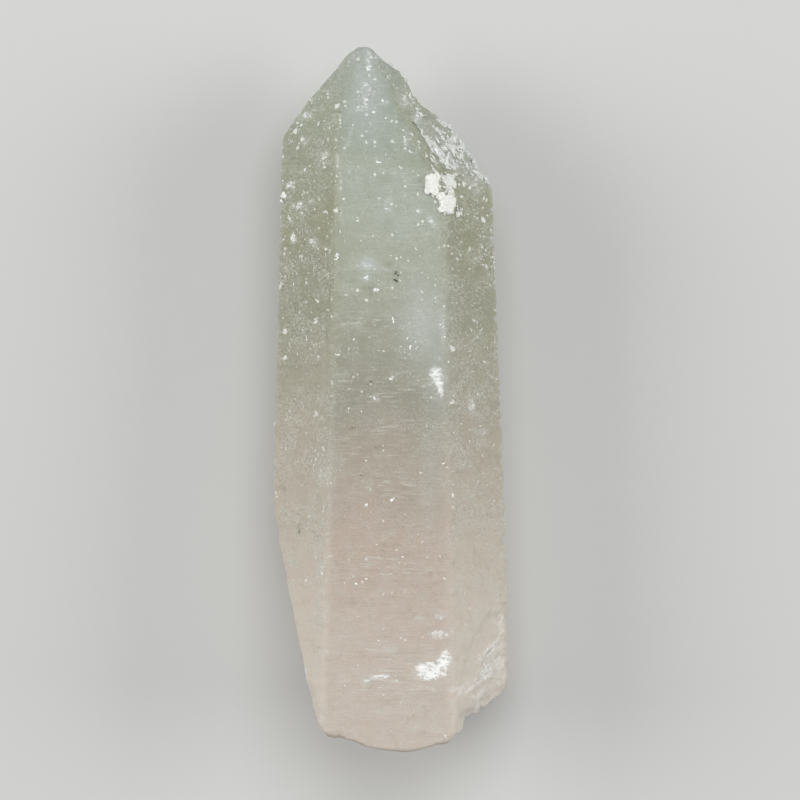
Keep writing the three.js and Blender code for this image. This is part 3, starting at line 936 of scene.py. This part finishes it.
        unbroken = 1.0 - smooth_step(0.0, 0.3, foot + shoulder)
        return marks | {
            "front": front * (1.0 - shoulder),
            "rim": rim,
            "broken": np.clip(foot + shoulder, 0.0, 1.0),
            "soft": np.maximum(soft * unbroken, soft_step),
            "free": smooth_step(0.25, 0.6, depths[3]),
        }

    def _softened(
        self, mesh: bpy.types.Mesh, points: np.ndarray, marks: dict[str, np.ndarray]
    ) -> np.ndarray:
        """Wears the edges and the tip soft.

        Args:
            mesh: The crystal's mesh, for what joins what.
            points: Places in millimetres from the long axis.
            marks: What is known about each point.

        Returns:
            The places after the wear.
        """
        pairs = np.empty(len(mesh.edges) * 2, dtype=np.int64)
        mesh.edges.foreach_get("vertices", pairs)
        first, second = pairs.reshape(-1, 2).T
        joined = np.bincount(pairs, minlength=len(points))
        share = (self.wear * marks["soft"] * marks["free"])[:, None]
        worn = points.copy()
        for _ in range(self.soft_rounds):
            sums = np.zeros_like(worn)
            for axis in range(3):
                sums[:, axis] = np.bincount(first, worn[second, axis], len(points))
                sums[:, axis] += np.bincount(second, worn[first, axis], len(points))
            worn += (sums / joined[:, None] - worn) * share
        return worn

    def _shoulder(self, points: np.ndarray) -> np.ndarray:
        """How much points belong to the broken shoulder.

        Args:
            points: Places in millimetres from the long axis.

        Returns:
            Values from 0 to 1.
        """
        turn = math.radians(self.shoulder_turn)
        dx, dy = points[:, 0] - self.shoulder_middle[0], points[:, 1] - self.shoulder_middle[1]
        u = (dx * math.cos(turn) + dy * math.sin(turn)) / self.shoulder_reach[0]
        v = (dy * math.cos(turn) - dx * math.sin(turn)) / self.shoulder_reach[1]
        return 1.0 - smooth_step(0.8, 1.15, np.hypot(u, v))

    def _relief(self, points: np.ndarray, marks: dict[str, np.ndarray]) -> np.ndarray:
        """How far each point is moved outwards, in millimetres.

        Args:
            points: Places in millimetres from the long axis.
            marks: What is known about each point.

        Returns:
            The moves, negative where the surface sinks.
        """
        rough = 1.0 - 0.75 * marks["front"]
        uneven = fractal(points, (1.3, 1.3, 1.3), 3, 1) * self.unevenness
        steps = fractal(points, (0.25, 1.6, 0.25), 3, 2) * self.step_height
        chance = np.abs(fractal(points, (0.9, 0.9, 0.9), 4, 3))
        broken = chance * -self.break_depth + self.break_rise
        relief = rough * (uneven + steps) + marks["broken"] * broken
        relief += self._notches(points) * marks["rim"] + self._filled(points, marks)
        return marks["free"] * relief

    def _nudged(self, points: np.ndarray) -> np.ndarray:
        """How far each point is moved level, to give the outline the photograph's bends.

        Args:
            points: Places in millimetres from the long axis.

        Returns:
            The moves in millimetres, one vector a row.
        """
        pixels = seen_at(points)
        below = smooth_step(0.1, 1.2, self.long_planes[Side.UPPER].depth(points))
        moves = np.zeros_like(points)
        for patches, share in ((self.nudges, 1.0), (self.undercuts, below)):
            for patch in patches:
                turn = math.radians(patch.turn)
                way = np.array((-math.sin(turn), math.cos(turn), 0.0))
                moves += (patch.at(pixels) * share)[:, None] * way
        return moves

    def _notches(self, points: np.ndarray) -> np.ndarray:
        """The small notches along the side edges, deeper on the right.

        Args:
            points: Places in millimetres from the long axis.

        Returns:
            The moves, negative in a notch and positive between them.
        """
        chance = random.Random(self.notch_seed)
        moves = np.full(len(points), self.between_notches)
        for side, first, last, depth in self.notched:
            along = first
            while along < last:
                width = chance.uniform(0.12, 0.24)
                nearness = np.exp(-(((points[:, 1] - along) / width) ** 2))
                sunk = depth * chance.uniform(0.4, 1.2)
                moves -= sunk * nearness * (points[:, 0] * side > 5.0)
                along += chance.uniform(0.7, 2.1)
        return moves

    def _filled(self, points: np.ndarray, marks: dict[str, np.ndarray]) -> np.ndarray:
        """How far the pits of the front face and the groove beside the ledge are filled up."""
        sunk = self.long_planes[Side.UPPER].depth(points)
        pits = np.clip(sunk, 0.0, 0.5) * 0.6 * (marks["front"] > 0.95) * (points[:, 1] < 16.0)
        return pits + self.groove.at(seen_at(points)) * (points[:, 2] > 0)


@dataclass
class SurfacePicker:
    """Picks places on the finished crystal."""

    crystal: bpy.types.Object

    def __post_init__(self) -> None:
        """Reads the crystal's faces once."""
        mesh = self.crystal.data
        count = len(mesh.polygons)
        centres, normals = np.empty(count * 3), np.empty(count * 3)
        mesh.polygons.foreach_get("center", centres)
        mesh.polygons.foreach_get("normal", normals)
        self.centres = centres.reshape(-1, 3)
        self.normals = normals.reshape(-1, 3)
        self.points = self.centres / MM - np.array((*AXIS_SHIFT, AXIS_HEIGHT))
        self.pixels = seen_at(self.points)

    def under_pixel(self, across: float, down: float) -> tuple[Vector, Vector]:
        """The place that the photograph shows at a pixel.

        Args:
            across: Pixels from the photograph's left edge.
            down: Pixels from its upper edge.

        Returns:
            The place in metres, and the surface's normal there.
        """
        far = np.hypot(self.pixels[:, 0] - across, self.pixels[:, 1] - down)
        best = int(np.argmin(far + (self.points[:, 2] < 0) * 100.0))
        return Vector(self.centres[best]), Vector(self.normals[best])

    def scattered(
        self, count: int, weights: np.ndarray, seed: int
    ) -> list[tuple[Vector, Vector]]:
        """Places strewn by chance.

        Args:
            count: How many there are.
            weights: How likely each face of the crystal is.
            seed: Picks the chance.

        Returns:
            Places in metres, each with the surface's normal.
        """
        chance = np.random.default_rng(seed)
        picked = chance.choice(len(weights), count, p=weights / weights.sum())
        return [(Vector(self.centres[i]), Vector(self.normals[i])) for i in picked]


def lying(place: Vector, normal: Vector, along: Vector, size: Sequence[float]) -> Matrix:
    """The matrix that lays a shape on the surface.

    Args:
        place: Where its middle goes.
        normal: What its Z is turned to.
        along: What its X is turned to, as far as the normal lets it.
        size: Its scale along X, Y and Z.

    Returns:
        The matrix.
    """
    up = normal.normalized()
    ahead = (along - up * along.dot(up)).normalized()
    turn = Matrix((ahead, up.cross(ahead), up)).transposed().to_4x4()
    return Matrix.Translation(place) @ turn @ Matrix.Diagonal((*size, 1.0))


def any_way(chance: random.Random) -> Vector:
    """A direction picked by chance, level as seen from above."""
    turn = chance.uniform(0.0, math.tau)
    return Vector((math.cos(turn), math.sin(turn), 0.01))


def dressed(
    name: str, shape: bmesh.types.BMesh, finish: MineralFinish
) -> bpy.types.Object:
    """Turns a finished shape into a piece of the model.

    Args:
        name: The piece's name.
        shape: Its mesh, which is freed.
        finish: What it is made of.

    Returns:
        The piece.
    """
    bmesh.ops.recalc_face_normals(shape, faces=shape.faces)
    mesh = bpy.data.meshes.new(name)
    shape.to_mesh(mesh)
    shape.free()
    piece = bpy.data.objects.new(name, mesh)
    bpy.context.scene.collection.objects.link(piece)
    mesh.materials.append(finish.build())
    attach(piece, "root")
    LOG.info("%s: %d faces", name, len(mesh.polygons))
    return piece


def add_chip(shape: bmesh.types.BMesh, matrix: Matrix, chance: random.Random) -> None:
    """Adds one angular chip of stone.

    Args:
        shape: What it is added to.
        matrix: Puts a ball of radius 1 where the chip goes.
        chance: Makes it uneven.
    """
    made = bmesh.ops.create_icosphere(shape, subdivisions=1, radius=1.0, matrix=matrix)
    middle = matrix.translation
    for vert in made["verts"]:
        vert.co = middle + (vert.co - middle) * chance.uniform(0.55, 1.3)


def add_plate(shape: bmesh.types.BMesh, matrix: Matrix, chance: random.Random) -> None:
    """Adds one flat flake with a broken outline.

    Args:
        shape: What it is added to.
        matrix: Puts a disc of radius 1 and thickness 1 where the flake goes.
        chance: Makes it uneven.
    """
    made = bmesh.ops.create_circle(
        shape, cap_ends=True, segments=chance.randint(7, 11), radius=1.0
    )
    for vert in made["verts"]:
        square = 1.0 / max(abs(vert.co.x), abs(vert.co.y))
        vert.co *= square ** chance.uniform(0.2, 0.9) * chance.uniform(0.72, 1.08)
    face = made["verts"][0].link_faces[0]
    risen = bmesh.ops.extrude_face_region(shape, geom=[face])["geom"]
    top = [part for part in risen if isinstance(part, bmesh.types.BMVert)]
    for vert in top:
        vert.co.z += 1.0
        vert.co.x *= chance.uniform(0.8, 0.97)
        vert.co.y *= chance.uniform(0.8, 0.97)
    bmesh.ops.transform(shape, matrix=matrix, verts=[*made["verts"], *top])


def tilted(normal: Vector, most: float, chance: random.Random) -> Vector:
    """Leans a direction by chance, by at most about that share."""
    return (normal + Vector([chance.uniform(-most, most) for _ in range(3)])).normalized()


def likely_grainy(points: np.ndarray) -> np.ndarray:
    """How likely a grain is at each place, in millimetres from the long axis."""
    on_side = np.abs(points[:, 0]) > 4.9
    high = smooth_step(-14.0, 14.0, points[:, 1])
    clumps = fractal(points, (0.35, 0.35, 0.35), 2, 11)
    weight = (0.3 + 0.7 * on_side) * (0.15 + 0.85 * high) * np.exp(2.6 * clumps)
    return weight * (points[:, 2] > -6.5)


@dataclass
class SugaryGrains:
    """Small pale crystals scattered over the faces, half sunk in them."""

    count: int = 1100
    smallest: float = 0.04
    seed: int = 7

    def build(self, picker: SurfacePicker) -> bpy.types.Object:
        """Strews the grains.

        Args:
            picker: Finds places on the crystal.

        Returns:
            The finished piece.
        """
        chance = random.Random(self.seed)
        shape = bmesh.new()
        for place, normal in picker.scattered(self.count, likely_grainy(picker.points), self.seed):
            size = self.smallest * math.exp(abs(chance.gauss(0.0, 0.6))) * MM
            scale = (size * chance.uniform(0.6, 1.6), size * chance.uniform(0.6, 1.2), size * 0.7)
            matrix = lying(place, tilted(normal, 0.4, chance), any_way(chance), scale)
            add_chip(shape, matrix, chance)
        finish = MineralFinish("sugar_grain", (0.84, 0.85, 0.81), (0.62, 0.64, 0.58), 0.3, 0.15)
        return dressed("sugary_grains", shape, finish)


@dataclass
class PaleFlecks:
    """The larger white flecks on the faces, where the photograph shows them.

    Each place is a pixel across and down, and half the fleck's width and height in millimetres.
    """

    places: tuple[tuple[float, float, float, float], ...] = (
        (281, 197, 0.42, 0.5), (384, 101, 0.3, 0.2), (372.5, 112, 0.24, 0.15),
        (346, 107, 0.17, 0.14), (367, 104, 0.12, 0.1), (387, 118, 0.13, 0.11),
        (369, 69, 0.2, 0.16), (368, 76, 0.13, 0.1), (371, 58, 0.1, 0.22), (346, 92, 0.1, 0.07),
        (332, 88, 0.1, 0.08), (379, 162, 0.26, 0.12), (375, 157, 0.1, 0.07),
        (401, 168, 0.17, 0.15), (366, 132, 0.16, 0.06), (342, 137, 0.09, 0.08),
        (337, 129, 0.08, 0.07), (324, 130, 0.1, 0.09), (419, 211, 0.16, 0.13),
        (345, 200, 0.16, 0.12), (299, 204, 0.2, 0.18), (311, 202, 0.14, 0.12),
        (316, 209, 0.15, 0.1), (291, 221, 0.14, 0.22), (293, 238, 0.24, 0.34),
        (312, 241, 0.2, 0.24), (284, 254, 0.13, 0.13), (297, 257, 0.09, 0.08),
        (291, 183, 0.3, 0.12), (287, 187, 0.14, 0.1), (307, 115, 0.26, 0.16),
        (303, 125, 0.18, 0.16), (300, 142, 0.16, 0.22), (330, 250, 0.1, 0.16),
        (403, 96, 0.2, 0.14), (410, 105, 0.16, 0.2), (417, 116, 0.28, 0.2),
        (402, 130, 0.12, 0.1), (406, 138, 0.2, 0.1), (412, 136, 0.12, 0.12),
        (411, 152, 0.22, 0.16), (405, 144, 0.1, 0.14), (375, 289, 0.34, 0.13),
        (346, 294, 0.16, 0.08), (366, 277, 0.2, 0.2), (407, 260, 0.14, 0.06),
        (374, 236, 0.09, 0.07), (360, 242, 0.09, 0.08), (479, 309, 0.13, 0.13),
        (471, 329, 0.13, 0.18), (441, 325, 0.1, 0.12), (444, 336, 0.1, 0.1),
        (450, 346, 0.14, 0.18), (354, 340, 0.14, 0.1), (390, 380, 0.2, 0.1),
        (377, 399, 0.22, 0.12), (360, 410, 0.08, 0.1), (393, 500, 0.24, 0.18),
        (367, 508, 0.14, 0.32), (420, 472, 0.2, 0.08), (446, 467, 0.1, 0.09),
        (376, 544, 0.14, 0.06), (404, 556, 0.16, 0.08), (471, 565, 0.16, 0.1),
        (444, 578, 0.16, 0.1), (356, 585, 0.13, 0.14), (366, 579, 0.16, 0.08),
        (323, 418, 0.12, 0.1), (427, 520, 0.08, 0.08),
    )
    strewn: int = 330
    smallest: float = 0.055
    most_growth: float = 1.7
    seed: int = 19

    def build(self, picker: SurfacePicker) -> bpy.types.Object:
        """Lays the flecks.

        Args:
            picker: Finds places on the crystal.

        Returns:
            The finished piece.
        """
        chance = random.Random(self.seed)
        shape = bmesh.new()
        for across, down, wide, tall in self.places:
            place, normal = picker.under_pixel(across, down)
            for _ in range(4):
                beside = place + Vector(
                    (chance.uniform(-0.6, 0.6) * wide, chance.uniform(-0.6, 0.6) * tall, 0.0)
                ) * MM
                half = max(wide, tall) * chance.uniform(0.3, 0.7) * MM
                narrow = min(wide, tall) * chance.uniform(0.4, 0.9) * MM
                size = (half, narrow, narrow * chance.uniform(0.4, 0.9))
                along = Vector((wide, tall * chance.choice((-1.0, 1.0)), 0.01))
                add_chip(shape, lying(beside, tilted(normal, 0.35, chance), along, size), chance)
        for place, normal in picker.scattered(self.strewn, likely_grainy(picker.points), self.seed):
            self._squiggle(shape, place, normal, chance)
        # Near white with no see-through, so the flecks reach the brightness of their glints: real
        # white flecks with a painted highlight.
        finish = MineralFinish("pale_fleck", (0.97, 0.98, 0.96), (0.82, 0.84, 0.80), 0.3)
        return dressed("pale_flecks", shape, finish)

    def _squiggle(
        self, shape: bmesh.types.BMesh, place: Vector, normal: Vector, chance: random.Random
    ) -> None:
        """Adds a short bent row of chips.

        Args:
            shape: What it is added to.
            place: Where it starts.
            normal: The way that the surface faces there.
            chance: Makes it uneven.
        """
        grown = min(self.most_growth, math.exp(abs(chance.gauss(0.0, 0.5))))
        half = self.smallest * grown * MM
        along = any_way(chance)
        for _ in range(chance.choice((1, 1, 2, 3))):
            size = (half * chance.uniform(0.9, 1.8), half * 0.8, half * chance.uniform(0.4, 0.7))
            matrix = lying(place, tilted(normal, 0.4, chance), along, size)
            add_chip(shape, matrix, chance)
            place = place + matrix.to_3x3().col[0] * 1.2
            along = (along + any_way(chance) * 0.7).normalized()


@dataclass
class PaleCrust:
    """The opaque white flakes grown on the front edge below the broken shoulder.

    Each flake is a pixel across and down, and half its width and height in millimetres.
    """

    plates: tuple[tuple[float, float, float, float], ...] = (
        (432, 184, 0.68, 0.88), (447, 203, 0.74, 0.8), (436, 178, 0.4, 0.42),
        (427, 190, 0.34, 0.4), (434, 192, 0.44, 0.4), (429, 178, 0.3, 0.34),
        (444, 201, 0.5, 0.62), (449, 208, 0.44, 0.5), (443, 209, 0.36, 0.4),
        (452, 203, 0.32, 0.44), (441, 196, 0.36, 0.36),
    )
    greyer: tuple[tuple[float, float, float, float], ...] = (
        (447, 183, 0.74, 0.78), (450, 178, 0.5, 0.5), (453, 185, 0.38, 0.4),
        (450, 192, 0.42, 0.34), (442, 178, 0.3, 0.3), (457, 213, 0.3, 0.3),
    )
    crumbs: int = 120
    seed: int = 3

    def build(self, picker: SurfacePicker) -> None:
        """Lays the white flakes and the greyer ones beside them.

        Args:
            picker: Finds places on the crystal.
        """
        chance = random.Random(self.seed)
        white = MineralFinish(
            "white_crust", (0.90, 0.90, 0.86), (0.76, 0.76, 0.71), 0.7, grain=5.0, relief=0.05
        )
        grey = MineralFinish(
            "grey_crust", (0.82, 0.83, 0.79), (0.62, 0.63, 0.57), 0.6, grain=5.0, relief=0.06
        )
        self._lay("white_crust", self.plates, white, picker, chance)
        self._lay("grey_crust", self.greyer, grey, picker, chance)

    def _lay(
        self,
        name: str,
        plates: Sequence[tuple[float, float, float, float]],
        finish: MineralFinish,
        picker: SurfacePicker,
        chance: random.Random,
    ) -> bpy.types.Object:
        """Lays one lot of flakes, with crumbs along their edges.

        Args:
            name: The piece's name.
            plates: Pixel and half widths in millimetres of each flake.
            finish: What they are made of.
            picker: Finds places on the crystal.
            chance: Makes them uneven.

        Returns:
            The finished piece.
        """
        shape = bmesh.new()
        for across, down, wide, tall in plates:
            place, normal = picker.under_pixel(across, down)
            lean = tilted(normal + Vector((0.0, 0.0, 0.5)), 0.12, chance)
            size = (wide * MM, tall * MM, chance.uniform(0.12, 0.2) * MM)
            along = Vector((1.0, chance.uniform(-0.5, 0.5), 0.0))
            add_plate(shape, lying(place, lean, along, size), chance)
        for _ in range(self.crumbs // 2):
            across, down, wide, tall = chance.choice(plates)
            turn = chance.uniform(0.0, math.tau)
            pixel = (
                across + math.cos(turn) * wide * PIXELS_A_MM * chance.uniform(0.5, 1.2),
                down + math.sin(turn) * tall * PIXELS_A_MM * chance.uniform(0.5, 1.2),
            )
            place, normal = picker.under_pixel(*pixel)
            half = chance.uniform(0.06, 0.2) * MM
            size = (half, half * chance.uniform(0.6, 1.0), half * chance.uniform(0.3, 0.7))
            raised = place + normal * 0.08 * MM
            matrix = lying(raised, tilted(normal, 0.4, chance), any_way(chance), size)
            add_chip(shape, matrix, chance)
        return dressed(name, shape, finish)


@dataclass(frozen=True)
class Ridge:
    """A row of broken stone between two pixels of the photograph."""

    start: tuple[float, float]
    end: tuple[float, float]
    count: int
    size: float
    length: float = 2.4
    strays: float = 1.2

    def pixel(self, share: float, chance: random.Random) -> list[float]:
        """A pixel near the place that is share of the way along."""
        return [
            first + (last - first) * share + chance.gauss(0.0, self.strays)
            for first, last in zip(self.start, self.end)
        ]

    def along(self) -> Vector:
        """The way that it runs."""
        return Vector((self.end[0] - self.start[0], self.start[1] - self.end[1], 0.01))


@dataclass
class BrokenShoulder:
    """The crumbly ledge where the crystal's right shoulder broke and healed."""

    ridges: tuple[Ridge, ...] = (
        Ridge((417, 124), (430, 146), 14, 0.09, 4.0, 0.6),
        Ridge((428, 141), (448, 166), 20, 0.24, 3.4, 1.0),
        Ridge((434, 148), (454, 164), 14, 0.17, 3.4, 1.6),
        Ridge((430, 148), (436, 172), 13, 0.12, 3.2, 0.8),
        Ridge((433, 127), (443, 135), 8, 0.15, 2.6, 0.8),
        Ridge((438, 134), (458, 158), 16, 0.17, 3.0, 3.0),
        Ridge((446, 136), (466, 160), 16, 0.2, 2.4, 3.0),
        Ridge((456, 160), (482, 180), 14, 0.18, 2.2, 3.0),
        Ridge((438, 121), (452, 127), 8, 0.44, 1.3, 0.6),
        Ridge((452, 127), (455, 138), 6, 0.42, 1.2, 0.6),
        Ridge((460, 141), (462, 149), 5, 0.42, 1.2, 0.5),
        Ridge((465, 152), (473, 158), 6, 0.4, 1.3, 0.5),
        Ridge((473, 158), (478, 170), 7, 0.34, 1.3, 0.5),
        Ridge((478, 170), (488, 181), 10, 0.22, 1.5, 0.6),
        Ridge((406, 92), (424, 120), 20, 0.12, 2.0, 2.4),
        Ridge((393, 62), (412, 88), 22, 0.18, 1.4, 0.7),
        Ridge((412, 90), (433, 113), 14, 0.12, 1.6, 0.7),
    )
    rubble: Ridge = Ridge((438, 134), (478, 180), 110, 0.09, 1.6, 6.0)
    seed: int = 23

    def build(self, picker: SurfacePicker) -> bpy.types.Object:
        """Builds the ridges and the rubble between them.

        Args:
            picker: Finds places on the crystal.

        Returns:
            The finished piece.
        """
        chance = random.Random(self.seed)
        shape = bmesh.new()
        for ridge in (*self.ridges, self.rubble):
            for i in range(ridge.count):
                pixel = ridge.pixel((i + chance.random()) / ridge.count, chance)
                place, normal = picker.under_pixel(*pixel)
                half = ridge.size * chance.uniform(0.55, 1.25) * MM
                along = tilted(ridge.along().normalized(), 0.25, chance)
                length = 1.0 + (ridge.length - 1.0) * chance.uniform(0.5, 1.0)
                size = (half * length, half, half * chance.uniform(0.5, 0.9))
                add_chip(shape, lying(place, tilted(normal, 0.35, chance), along, size), chance)
        finish = MineralFinish(
            "healed_quartz", (0.96, 0.98, 0.97), (0.70, 0.72, 0.66), 0.25, 0.2, 3.0, 0.05
        )
        return dressed("broken_shoulder", shape, finish)


@dataclass
class DarkFlecks:
    """The few dark green needles of actinolite that reach the surface.

    Each place is a pixel across and down, half the needle's length and width in millimetres, and
    its turn in degrees.
    """

    places: tuple[tuple[float, float, float, float, float], ...] = (
        (396, 272, 0.14, 0.1, 70), (397.5, 276, 0.1, 0.08, 20), (396, 280.5, 0.2, 0.1, 150),
        (371, 382, 0.08, 0.06, 10), (299, 531, 0.12, 0.06, 80), (362, 474.5, 0.12, 0.03, -12),
        (427, 520, 0.05, 0.04, 40), (340.5, 212, 0.06, 0.05, 0),
    )
    seed: int = 5

    def build(self, picker: SurfacePicker) -> bpy.types.Object:
        """Lays the needles in the surface.

        Args:
            picker: Finds places on the crystal.

        Returns:
            The finished piece.
        """
        chance = random.Random(self.seed)
        shape = bmesh.new()
        for across, down, half_length, half_width, turn in self.places:
            place, normal = picker.under_pixel(across, down)
            along = Vector((math.cos(math.radians(turn)), math.sin(math.radians(turn)), 0.01))
            size = (half_width * MM, half_width * MM, half_length * MM)
            matrix = lying(place, along, normal, size)
            made = bmesh.ops.create_cone(
                shape,
                cap_ends=True,
                segments=6,
                radius1=1.0,
                radius2=0.6,
                depth=2.0,
                matrix=matrix,
            )
            for vert in made["verts"]:
                vert.co = place + (vert.co - place) * chance.uniform(0.7, 1.15)
        finish = MineralFinish("actinolite", (0.14, 0.13, 0.07), (0.05, 0.06, 0.03), 0.4)
        return dressed("dark_flecks", shape, finish)


@dataclass(frozen=True)
class Lamp:
    """A square soft lamp, turned to the crystal. Its place and side are in metres."""

    name: str
    place: tuple[float, float, float]
    side: float
    power: float
    colour: Colour

    def hang(self) -> None:
        """Adds the lamp to the scene."""
        light = bpy.data.lights.new(self.name, "AREA")
        light.shape = "SQUARE"
        light.size, light.energy, light.color = self.side, self.power, self.colour
        lamp = bpy.data.objects.new(self.name, light)
        lamp.location = self.place
        lamp.rotation_euler = (-Vector(self.place)).to_track_quat("-Z", "Y").to_euler()
        bpy.context.scene.collection.objects.link(lamp)


@dataclass
class Studio:
    """The plain floor, the soft lights and the camera."""

    floor_side: float = 6.0
    floor_drop: float = 0.00002
    lamps: tuple[Lamp, ...] = (
        Lamp("left", (-0.7, 0.1, 0.45), 0.5, 3.6, (1.0, 0.985, 0.95)),
        Lamp("right", (0.7, 0.06, 0.42), 0.45, 2.9, (1.0, 0.985, 0.96)),
        Lamp("above", (0.1, 0.5, 1.3), 0.9, 9.0, (0.97, 0.99, 1.0)),
    )
    air: Colour = (0.95, 0.97, 1.0)
    air_strength: float = 0.22
    sensor: float = 36.0

    def build(self) -> None:
        """Sets the stage."""
        self._floor()
        self._lights()
        self._camera()

    def _floor(self) -> None:
        """Lays a plain pale floor just under the crystal."""
        shape = bmesh.new()
        bmesh.ops.create_grid(shape, x_segments=2, y_segments=2, size=self.floor_side / 2)
        bmesh.ops.translate(shape, verts=shape.verts, vec=(0.0, 0.0, -self.floor_drop))
        mesh = bpy.data.meshes.new("floor")
        shape.to_mesh(mesh)
        shape.free()
        floor = bpy.data.objects.new("floor", mesh)
        bpy.context.scene.collection.objects.link(floor)
        mesh.materials.append(FloorFinish().build())

    def _lights(self) -> None:
        """Hangs the soft lamps round the crystal and lights the air evenly."""
        for lamp in self.lamps:
            lamp.hang()
        world = bpy.data.worlds.new("studio")
        bpy.context.scene.world = world
        world.use_nodes = True
        background = world.node_tree.nodes["Background"]
        background.inputs["Color"].default_value = (*self.air, 1.0)
        background.inputs["Strength"].default_value = self.air_strength
        bpy.context.scene.view_settings.view_transform = "Standard"

    def _camera(self) -> None:
        """Looks straight down, with the tip up in the picture."""
        lens = bpy.data.cameras.new("camera")
        camera = bpy.data.objects.new("camera", lens)
        camera.location = (
            (VIEW_CENTRE[0] + AXIS_SHIFT[0]) * MM,
            (VIEW_CENTRE[1] + AXIS_SHIFT[1]) * MM,
            (CAMERA_DISTANCE + AXIS_HEIGHT) * MM,
        )
        shown = 2.0 * PHOTO_MIDDLE / PIXELS_A_MM
        lens.sensor_width = self.sensor
        lens.lens = lens.sensor_width * CAMERA_DISTANCE / shown
        lens.clip_start = 0.01
        lens.clip_end = 10.0
        bpy.context.scene.collection.objects.link(camera)
        bpy.context.scene.camera = camera


def main() -> None:
    """Builds the crystal, what lies on it and the studio."""
    logging.basicConfig(level=logging.INFO, format="%(name)s %(message)s")
    Studio().build()
    crystal = Crystal().build()
    picker = SurfacePicker(crystal)
    SugaryGrains().build(picker)
    PaleFlecks().build(picker)
    PaleCrust().build(picker)
    BrokenShoulder().build(picker)
    DarkFlecks().build(picker)


if __name__ == "__main__":
    main()
